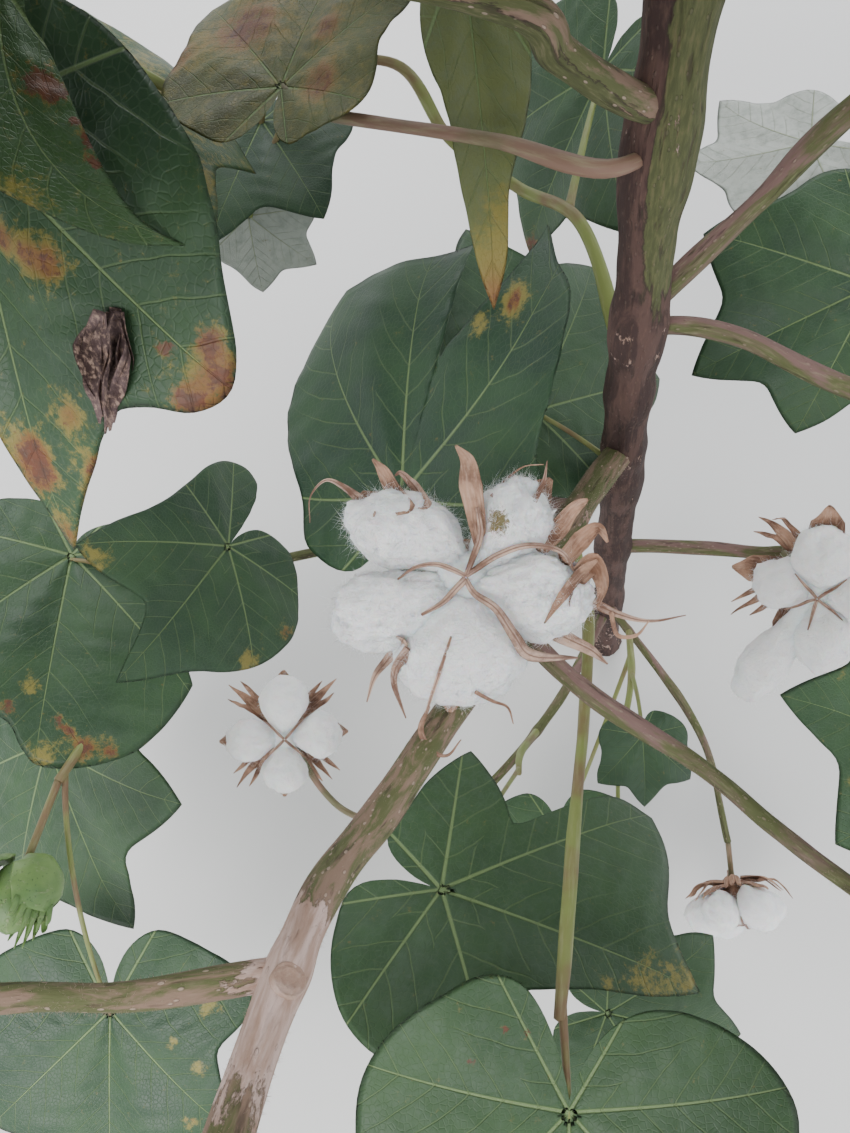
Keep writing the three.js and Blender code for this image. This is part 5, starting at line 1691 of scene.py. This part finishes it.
# The dry parts of the front boll, as places of its face in millimetres right, up and forward, with the widths
# along them. A bract has its cup too.
FRONT_RIDGES = [
    ([(1, 1, 9), (3, 6, 10), (6, 15, 12), (5, 24, 14)], (1.6, 2.4, 1.4)),
    ([(1, 1, 9), (4, 3, 10), (12, 8, 14), (22, 11, 15), (33, 9, 11), (38, 2, 4)], (1.6, 2.2, 2.2, 1.8, 1.0)),
    ([(1, 0, 9), (4, -5, 10), (11, -10, 14), (17, -19, 14), (23, -26, 9), (40, -28, -2)],
     (1.8, 2.4, 2.8, 3.8, 4.4, 0.8)),
    ([(1, 0, 9), (-2, -3, 11), (-7, -8, 12), (-14, -12, 8)], (2.6, 2.4, 1.0)),
    ([(1, 1, 9), (-3, 3, 11), (-9, 5, 14), (-16, 4, 13), (-22, 0, 8)], (1.6, 2.0, 1.4, 0.7)),
]
FRONT_BRACTS = [
    ([(6, 10, 4), (5, 19, 10), (3, 31, 12), (2, 40, 8), (-2, 46, 5)], (3, 6, 8, 5, 0.8), 0.5),
    ([(-30, 20, -8), (-36, 28, -3), (-42, 33, 0), (-48, 35, 1), (-53, 29, 3), (-53, 20, 4)],
     (5, 4, 2, 1, 0.5, 0.3), 0.3),
    ([(-18, 22, -8), (-24, 31, -2), (-28, 38, 1), (-31, 42, 3)], (7, 6, 4, 1), 0.6),
    ([(-12, 24, -6), (-17, 33, 0), (-21, 37, 3), (-23, 36, 5)], (5, 4, 2, 0.6), 0.5),
    ([(26, 10, -8), (33, 17, 2), (38, 24, 6), (43, 27, 4)], (6, 7, 5, 1), 0.6),
    ([(34, 6, -8), (41, 13, 2), (46, 17, 6), (49, 12, 8)], (6, 7, 4, 1), 0.7),
    ([(38, 0, -8), (45, 5, 1), (48, -2, 5), (46, -10, 6)], (7, 8, 5, 1), 0.6),
    ([(46, 6, 4), (40, 2, 10), (33, -6, 13), (27, -15, 13)], (1, 4, 3.4, 0.5), 0.4),
    ([(36, -6, -10), (46, -9, -6), (55, -13, -4), (65, -15, 0), (76, -13, 4)], (7, 4, 2.4, 1.2, 0.4), 0.3),
    ([(52, -12, -4), (54, -20, -3), (60, -20, 0), (64, -15, 2)], (1.6, 1.6, 1.2, 0.4), 0.2),
    ([(34, -20, -10), (44, -25, -4), (50, -30, 0)], (6, 4, 0.8), 0.4),
    ([(-20, -20, -10), (-26, -27, -5), (-31, -34, -3), (-34, -43, 0)], (5, 4, 2.4, 0.6), 0.4),
    ([(-18, -24, -10), (-23, -30, -4), (-24, -38, 0), (-20, -48, 4)], (5, 3, 2, 0.5), 0.4),
    ([(-4, -19, 14), (-8, -31, 15), (-11, -40, 13), (-13, -46, 6)], (0.8, 1.4, 1.2, 0.8), 0.0),
    ([(-12, -44, 4), (-15, -52, 2), (-12, -59, 1), (-6, -61, 3), (-1, -55, 6)],
     (1.0, 2.2, 2.0, 1.2, 0.4), 0.3),
    ([(4, -38, 0), (10, -42, 5), (15, -44, 6), (17, -50, 4)], (1.4, 1.2, 0.9, 0.4), 0.2),
    ([(24, 26, -4), (28, 33, 5), (29, 40, 8)], (2.4, 1.4, 0.3), 0.2),
    ([(10, 28, -4), (15, 34, 4), (21, 38, 8), (28, 39, 6)], (1.2, 0.8, 0.5, 0.3), 0.0),
]


def add_bur(heap, bloom, row, near, rng):
    """The dry bur behind the lint: its cup, a valve behind each lock and pointed bracts between them."""
    size = row["bur"]
    cup = Line([bloom.at(0, 0, forward) for forward in np.linspace(-27, -6, 8)])
    add_tube(heap, cup, lambda share: lerp(row["stalk"], 0.3 * size, eased(share, 0, 0.8)), 18, 2.5)
    for angle, gap in bloom.sectors():
        valve = bloom.spread(angle, ((0.12, -17), (0.5, -15), (0.8, -12), (1.0, -8)), size)
        add_strip(heap, valve, (7, 0.42 * size, 0.36 * size, 2), bloom.face, 0.9, 0.35, 1.2, 0,
                  int(rng.integers(1e6)), steps=6, sides=14)
        for aside in () if near else (-9, 0, 9):
            reach = size * (1.12 - 0.012 * abs(aside)) * rng.uniform(0.92, 1.06)
            rows = ((0.2, -20), (0.6, -19), (0.85, -14), (1.02, -8 + 4 * rng.normal()))
            bract = bloom.spread(angle + gap / 2 + aside, rows, reach)
            add_strip(heap, bract, (6, 4.5 if aside else 7, 3, 0.5), bloom.face, 0.5, 0.5, 1.6,
                      20 * rng.normal(), int(rng.integers(1e6)), sides=10)


def bur_stalk(row, bloom):
    """The stalk's line from its branch to the bur's cup."""
    start = PLANT.limbs[row["on"]].line.place(row.get("at", math.inf))[0]
    ends = [*ends_of(start, row.get("via", [])), bloom.at(0, 0, -20)]
    return Line(curve_through(ends, FINE_STEPS))


class COTTON_OT_burs(bpy.types.Operator):
    """Make the dry burs of the open bolls: stalk, cup, valves, ridges and bracts"""

    bl_idname = "cotton.burs"
    bl_label = "Dry burs"

    def execute(self, context):
        made = looks()
        paints = [dry_material("bur_dry", made.bur_tan, made.bur_dark, made.bur_pale),
                  dry_material("ridge_dry", made.bur_pale, made.bur_dark, made.cork_pale, seam=0.0004),
                  stalk_material("bur_stalk", made.bark_green, made.bark_brown, made)]
        rng = np.random.default_rng(31)
        for name, row, bloom in open_blooms():
            heap = Heap(grain=3)
            stalk = bur_stalk(row, bloom)
            add_tube(heap, stalk, lambda share: row["stalk"] + 1.2 * eased(share, 0.8, 1), 14, 3, slot=2)
            near = name == "front_boll"
            add_bur(heap, bloom, row, near, rng)
            if near:
                self.front_star(heap, bloom, rng)
            else:
                self.star(heap, bloom)
            add_piece(f"{name}_dry_bur", heap, paints, "dry_bur", [f"{name}_bur"])
        return {"FINISHED"}

    def front_star(self, heap, bloom, rng):
        """The ridges that meet in a star in front of the lint, and the dry bracts round it."""
        for path, widths in FRONT_RIDGES:
            add_strip(heap, bloom.draped(path, 0.7), widths, bloom.face, 1.3, -0.4, 0.4, 0,
                      int(rng.integers(1e6)), slot=1, steps=8)
        for path, widths, cup in FRONT_BRACTS:
            twist, seed = 25 * rng.normal(), int(rng.integers(1e6))
            slot = int(rng.integers(2)) if widths[1] < 5 else 0
            add_strip(heap, bloom.draped(path, 0.6), widths, bloom.face, 0.5, cup, 1.2, twist, seed, slot,
                      steps=8, sides=12)

    def star(self, heap, bloom):
        """The pale edges of the valves, which meet in a star in front of the lint."""
        for k, (angle, gap) in enumerate(bloom.sectors()):
            a = math.radians(angle + gap / 2)
            path = [(r * math.cos(a), r * math.sin(a), 6) for r in (0.5, 5, 11, 18)]
            add_strip(heap, bloom.draped(path, 0.5), (1.6, 2.0, 1.6, 0.6), bloom.face, 1.1, -0.3, 0.4, 0,
                      k + 1, slot=1)


def egg_radius(size, flat, taper, power):
    """The radius along an egg, as a function of the share of its length."""
    return lambda share: size * math.sqrt(max(flat, 1 - (2 * share - 1) ** 2)) * (1 - taper * share ** power)


class COTTON_OT_small_bolls(bpy.types.Operator):
    """Make the small bolls of the crown, their bracts and stalks, and the buds between the leaves"""

    bl_idname = "cotton.small_bolls"
    bl_label = "Small bolls and buds"

    def execute(self, context):
        made = looks()
        dry = [dry_material("small_bur", made.bur_tan, made.bur_dark, made.bur_pale),
               green_stalk("boll_stalk")]
        fresh = [unripe_material(made), dry[1]]
        burs, green = Heap(grain=3), Heap(grain=3)
        for mass in PLANT.masses:
            for boll in mass.bolls:
                self.small_boll(burs if boll.open else green, boll)
            for bud in mass.buds:
                self.bud(green, bud)
        add_piece("small_boll_burs", burs, dry, "dry_bur", MASS_NODES)
        add_piece("green_bolls_and_buds", green, fresh, "unripe_boll", MASS_NODES)
        return {"FINISHED"}

    def small_boll(self, heap, boll):
        bloom, size = boll.bloom(), boll.size
        line = stalk_line(boll.start, boll.centre - boll.face * size * 0.7, 0.05)
        add_tube(heap, line, lambda share: 1.5 + 1.2 * eased(share, 0.8, 1), 8, 5, slot=1)
        cup = Line([bloom.at(0, 0, f * size) for f in (-0.95, -0.8, -0.6, -0.45)])
        add_tube(heap, cup, lambda share: lerp(1.6, 0.42 * size, eased(share, 0, 0.8)), 12, 3)
        rows = OPEN_BRACT if boll.open else CLOSED_BRACT
        for k in range(3):
            bract = bloom.spread(120 * k, rows, size, size)
            add_strip(heap, bract, (3, 0.8 * size, 0.7 * size, 1), boll.face, 0.7, 0.4, 1.0, 0, k + 3,
                      sides=10)
        if not boll.open:
            egg = Line([bloom.at(0, 0, f * size) for f in np.linspace(-0.9, 1.05, 12)])
            add_tube(heap, egg, egg_radius(0.8 * size, 0.004, 0.25, 1), 14, size / 6)
            return
        for k in range(4):
            valve = bloom.spread(90 * k, ((0.15, -0.6), (0.6, -0.55), (1.0, -0.35)), size, size)
            add_strip(heap, valve, (4, 0.6 * size, 1), boll.face, 0.8, 0.35, 0.8, 0, k + 9, sides=10)

    def bud(self, heap, bud):
        size = bud.size
        stalk = stalk_line(bud.start, bud.centre - bud.face * size * 0.6, 0.1, 3)
        add_tube(heap, stalk, lambda share: 0.7, 5, 8, slot=1)
        for k in range(3):
            add_strip(heap, bud.bloom().spread(120 * k, CLOSED_BRACT, size, size), (2, 1.2 * size, size, 0.6),
                      bud.face, 0.5, 0.5, 0.3, 0, k + 1, steps=3, sides=6)


class COTTON_OT_green_boll(bpy.types.Operator):
    """Make the green boll on the left, in its three toothed bracts"""

    bl_idname = "cotton.green_boll"
    bl_label = "Green boll"

    def execute(self, context):
        paints = [unripe_material(looks()), green_stalk("green_boll_stalk")]
        row = GREEN_BOLL
        bloom = Bloom(row["centre"], heading(*row["point"]), 0)
        size = row["size"]
        heap = Heap(grain=3)
        start = PLANT.limbs[row["on"]].line.place(math.inf)[0]
        stalk = stalk_line(start, bloom.at(0, 0, -size * 0.8), 0, 12)
        add_tube(heap, stalk, lambda share: row["stalk"], 12, 3, slot=1)
        flesh = Line([bloom.at(0, 0, f * size) for f in np.linspace(-0.85, 1.25, 30)])
        add_tube(heap, flesh, egg_radius(0.86 * size, 0.003, 0.28, 2), 32, 1, self.seams)
        for k in range(3):
            self.bract(heap, bloom, 120 * k + 30, size, k)
        add_piece("green_boll_flesh", heap, paints, "unripe_boll", ["green_boll"])
        return {"FINISHED"}

    def seams(self, theta, s, radius):
        return -0.5 * np.abs(np.cos(2 * theta)) ** 8 + 0 * s

    def bract(self, heap, bloom, angle, size, seed):
        """A bract: a broad cupped blade that ends in long teeth."""
        way, aside = bloom.around(angle), bloom.around(angle + 90)
        blade = bloom.spread(angle, ((0.35, -0.95), (0.95, -0.6), (1.08, 0.1), (0.98, 0.7)), size, size)
        add_strip(heap, blade, (8, 1.7 * size, 1.75 * size, 1.2 * size), way, 0.6, -0.45, 1.0, 0, seed + 5,
                  steps=7, sides=20)
        for k, place in enumerate((-0.62, -0.36, -0.12, 0.12, 0.36, 0.62)):
            rows = ((1.0, 0.8, 0.45), (0.98, 0.95, 0.9), (0.85, 1.05, 1.55 - 0.9 * abs(place)))
            tooth = [bloom.centre + (way * r + aside * place * w + bloom.face * f) * size for r, w, f in rows]
            add_strip(heap, tooth, (4.5, 3.2, 0.5), way, 0.5, -0.3, 0.5, 0, seed + k, steps=4)


class COTTON_OT_withered_flower(bpy.types.Operator):
    """Lay the withered flower on the spotted leaf"""

    bl_idname = "cotton.withered_flower"
    bl_label = "Withered flower"

    def execute(self, context):
        made = looks()
        paint = dry_material("withered_dry", made.withered, made.bark_wine, made.bur_pale, grained=False)
        leaf = next(leaf for mass in PLANT.masses for leaf in mass.leaves if leaf.name == "left_spotted_leaf")
        heap = Heap(grain=3)
        rng = np.random.default_rng(8)
        head, foot = leaf.blade(0.6, 42), leaf.blade(0.76, 24)
        along = unit(foot - head)
        aside = unit(np.cross(leaf.up, along))
        base = (head + foot) / 2 + leaf.up * 3.2
        reach = np.linalg.norm(foot - head) / 2
        for k in range(PETAL_FOLDS):
            turn = 2 * math.pi * k / PETAL_FOLDS
            swing = aside * math.cos(turn) * 4 + leaf.up * (1 + math.sin(turn)) * 1.8
            path = [base - along * reach * (0.95 + 0.1 * rng.normal()) + swing * 0.7,
                    base - along * reach * 0.35 + swing * (1.3 + 0.2 * rng.normal()),
                    base + along * reach * 0.3 + swing * (1.1 + 0.3 * rng.normal()),
                    base + along * reach * (0.9 + 0.12 * rng.normal()) + swing * 0.6]
            add_strip(heap, path, (4, 10, 6, 1), leaf.up, 0.7, 0.6, 2.2, 60 * rng.normal(), 40 + k, steps=7,
                      sides=12)
        add_piece("withered_flower", heap, [paint], "dry_bur", [])
        return {"FINISHED"}


class COTTON_OT_branch_scars(bpy.types.Operator):
    """Add the cut stub of the front branch, with its rings"""

    bl_idname = "cotton.branch_scars"
    bl_label = "Cut stub"

    def execute(self, context):
        made = looks()
        point, way = PLANT.limbs["front_branch"].fine.place(322)
        toward = unit(np.array(CLEARING["apex"], float) - point)
        out = unit(toward - way * (toward @ way) + 0.25 * np.array([1.0, 0, 0]))
        stub = self.stub(point + out * 4.4, out)
        paint = dry_material("cut_wood", made.cork_pale, made.cork_tan, made.bark_pore, grained=False)
        finish_piece(stub, [paint], "bark", ["front_branch"])
        return {"FINISHED"}

    def stub(self, place, out):
        """A short round stub whose cut face is sunk in two rings."""
        bpy.ops.object.select_all(action="DESELECT")
        bpy.ops.mesh.primitive_cylinder_add(vertices=28, radius=0.0044, depth=0.004)
        stub = bpy.context.active_object
        stub.name = "cut_stub"
        bpy.ops.object.mode_set(mode="EDIT")
        bpy.ops.mesh.select_all(action="DESELECT")
        bpy.ops.object.mode_set(mode="OBJECT")
        for face in stub.data.polygons:
            face.select = face.normal.z > 0.9
        bpy.ops.object.mode_set(mode="EDIT")
        for thickness, depth in ((0.0008, -0.0004), (0.0009, 0.0005), (0.0008, -0.0005)):
            bpy.ops.mesh.inset(thickness=thickness, depth=depth)
        bpy.ops.object.mode_set(mode="OBJECT")
        stub.modifiers.new("soft_edges", "BEVEL").width = 0.0003
        bpy.ops.object.modifier_apply(modifier="soft_edges")
        turn = Vector(out).to_track_quat("Z", "Y").to_matrix().to_4x4()
        stub.data.transform(Matrix.Translation(Vector(place) * MM) @ turn)
        stub.data.shade_smooth()
        return stub


class COTTON_OT_stage(bpy.types.Operator):
    """Lay the pale floor and set the soft lights and the camera"""

    bl_idname = "cotton.stage"
    bl_label = "Floor, lights and camera"

    def execute(self, context):
        stage = context.scene.cotton_stage
        bpy.ops.mesh.primitive_plane_add(size=stage.floor_size)
        floor = context.active_object
        floor.name = "floor"
        floor.data.materials.append(floor_material(looks()))
        self.light("key_light", (-1.3, -1.5, 2.7), 2.2, stage.key_power, (1.0, 0.99, 0.97))
        self.light("fill_light", (1.9, -0.8, 2.1), 2.0, stage.fill_power, (0.96, 0.98, 1.0))
        self.light("back_light", (0.4, 2.0, 2.3), 2.0, stage.back_power, (1.0, 1.0, 1.0))
        world = bpy.data.worlds.new("soft_sky")
        world.use_nodes = True
        background = world.node_tree.nodes["Background"]
        background.inputs["Color"].default_value = (0.93, 0.96, 1.0, 1)
        background.inputs["Strength"].default_value = stage.sky
        context.scene.world = world
        self.camera(context.scene, stage.lens)
        return {"FINISHED"}

    def light(self, name, place, size, power, colour):
        data = bpy.data.lights.new(name, "AREA")
        data.size = size
        data.energy = power
        data.color = colour
        lamp = bpy.data.objects.new(name, data)
        bpy.context.scene.collection.objects.link(lamp)
        lamp.location = place
        lamp.rotation_euler = (Vector(LIT_PLACE) - Vector(place)).to_track_quat("-Z", "Y").to_euler()

    def camera(self, scene, lens):
        data = bpy.data.cameras.new("camera")
        data.lens = lens
        data.sensor_width = 36
        data.clip_start = 0.01
        camera = bpy.data.objects.new("camera", data)
        scene.collection.objects.link(camera)
        columns = [Vector(PLANT.view_right), Vector(PLANT.view_up), -Vector(PLANT.view_in)]
        turn = Matrix(columns).transposed().to_4x4()
        camera.matrix_world = Matrix.Translation(Vector(CLEARING["apex"]) * MM) @ turn
        scene.camera = camera


PIECES = (
    COTTON_OT_bark, COTTON_OT_hairs, COTTON_OT_twigs, COTTON_OT_leaves, COTTON_OT_lint, COTTON_OT_burs,
    COTTON_OT_small_bolls, COTTON_OT_green_boll, COTTON_OT_withered_flower, COTTON_OT_branch_scars,
    COTTON_OT_stage)


class COTTON_PT_panel(bpy.types.Panel):
    """Lists the plant's pieces and the stage"""

    bl_idname = "COTTON_PT_panel"
    bl_label = "Cotton plant"
    bl_space_type = "VIEW_3D"
    bl_region_type = "UI"
    bl_category = "Cotton"

    def draw(self, context):
        for piece in PIECES:
            self.layout.operator(piece.bl_idname)


CLASSES = (CottonLooks, CottonSizes, StageSettings) + PIECES + (COTTON_PT_panel,)


def register():
    for kind in CLASSES:
        bpy.utils.register_class(kind)
    bpy.types.Scene.cotton_looks = bpy.props.PointerProperty(type=CottonLooks)
    bpy.types.Scene.cotton_sizes = bpy.props.PointerProperty(type=CottonSizes)
    bpy.types.Scene.cotton_stage = bpy.props.PointerProperty(type=StageSettings)


def unregister():
    del bpy.types.Scene.cotton_stage
    del bpy.types.Scene.cotton_sizes
    del bpy.types.Scene.cotton_looks
    for kind in reversed(CLASSES):
        bpy.utils.unregister_class(kind)


def main():
    register()
    bpy.ops.cotton.bark()
    bpy.ops.cotton.hairs()
    bpy.ops.cotton.twigs()
    bpy.ops.cotton.leaves()
    bpy.ops.cotton.lint()
    bpy.ops.cotton.burs()
    bpy.ops.cotton.small_bolls()
    bpy.ops.cotton.green_boll()
    bpy.ops.cotton.withered_flower()
    bpy.ops.cotton.branch_scars()
    bpy.ops.cotton.stage()
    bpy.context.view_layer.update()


if __name__ == "__main__":
    main()
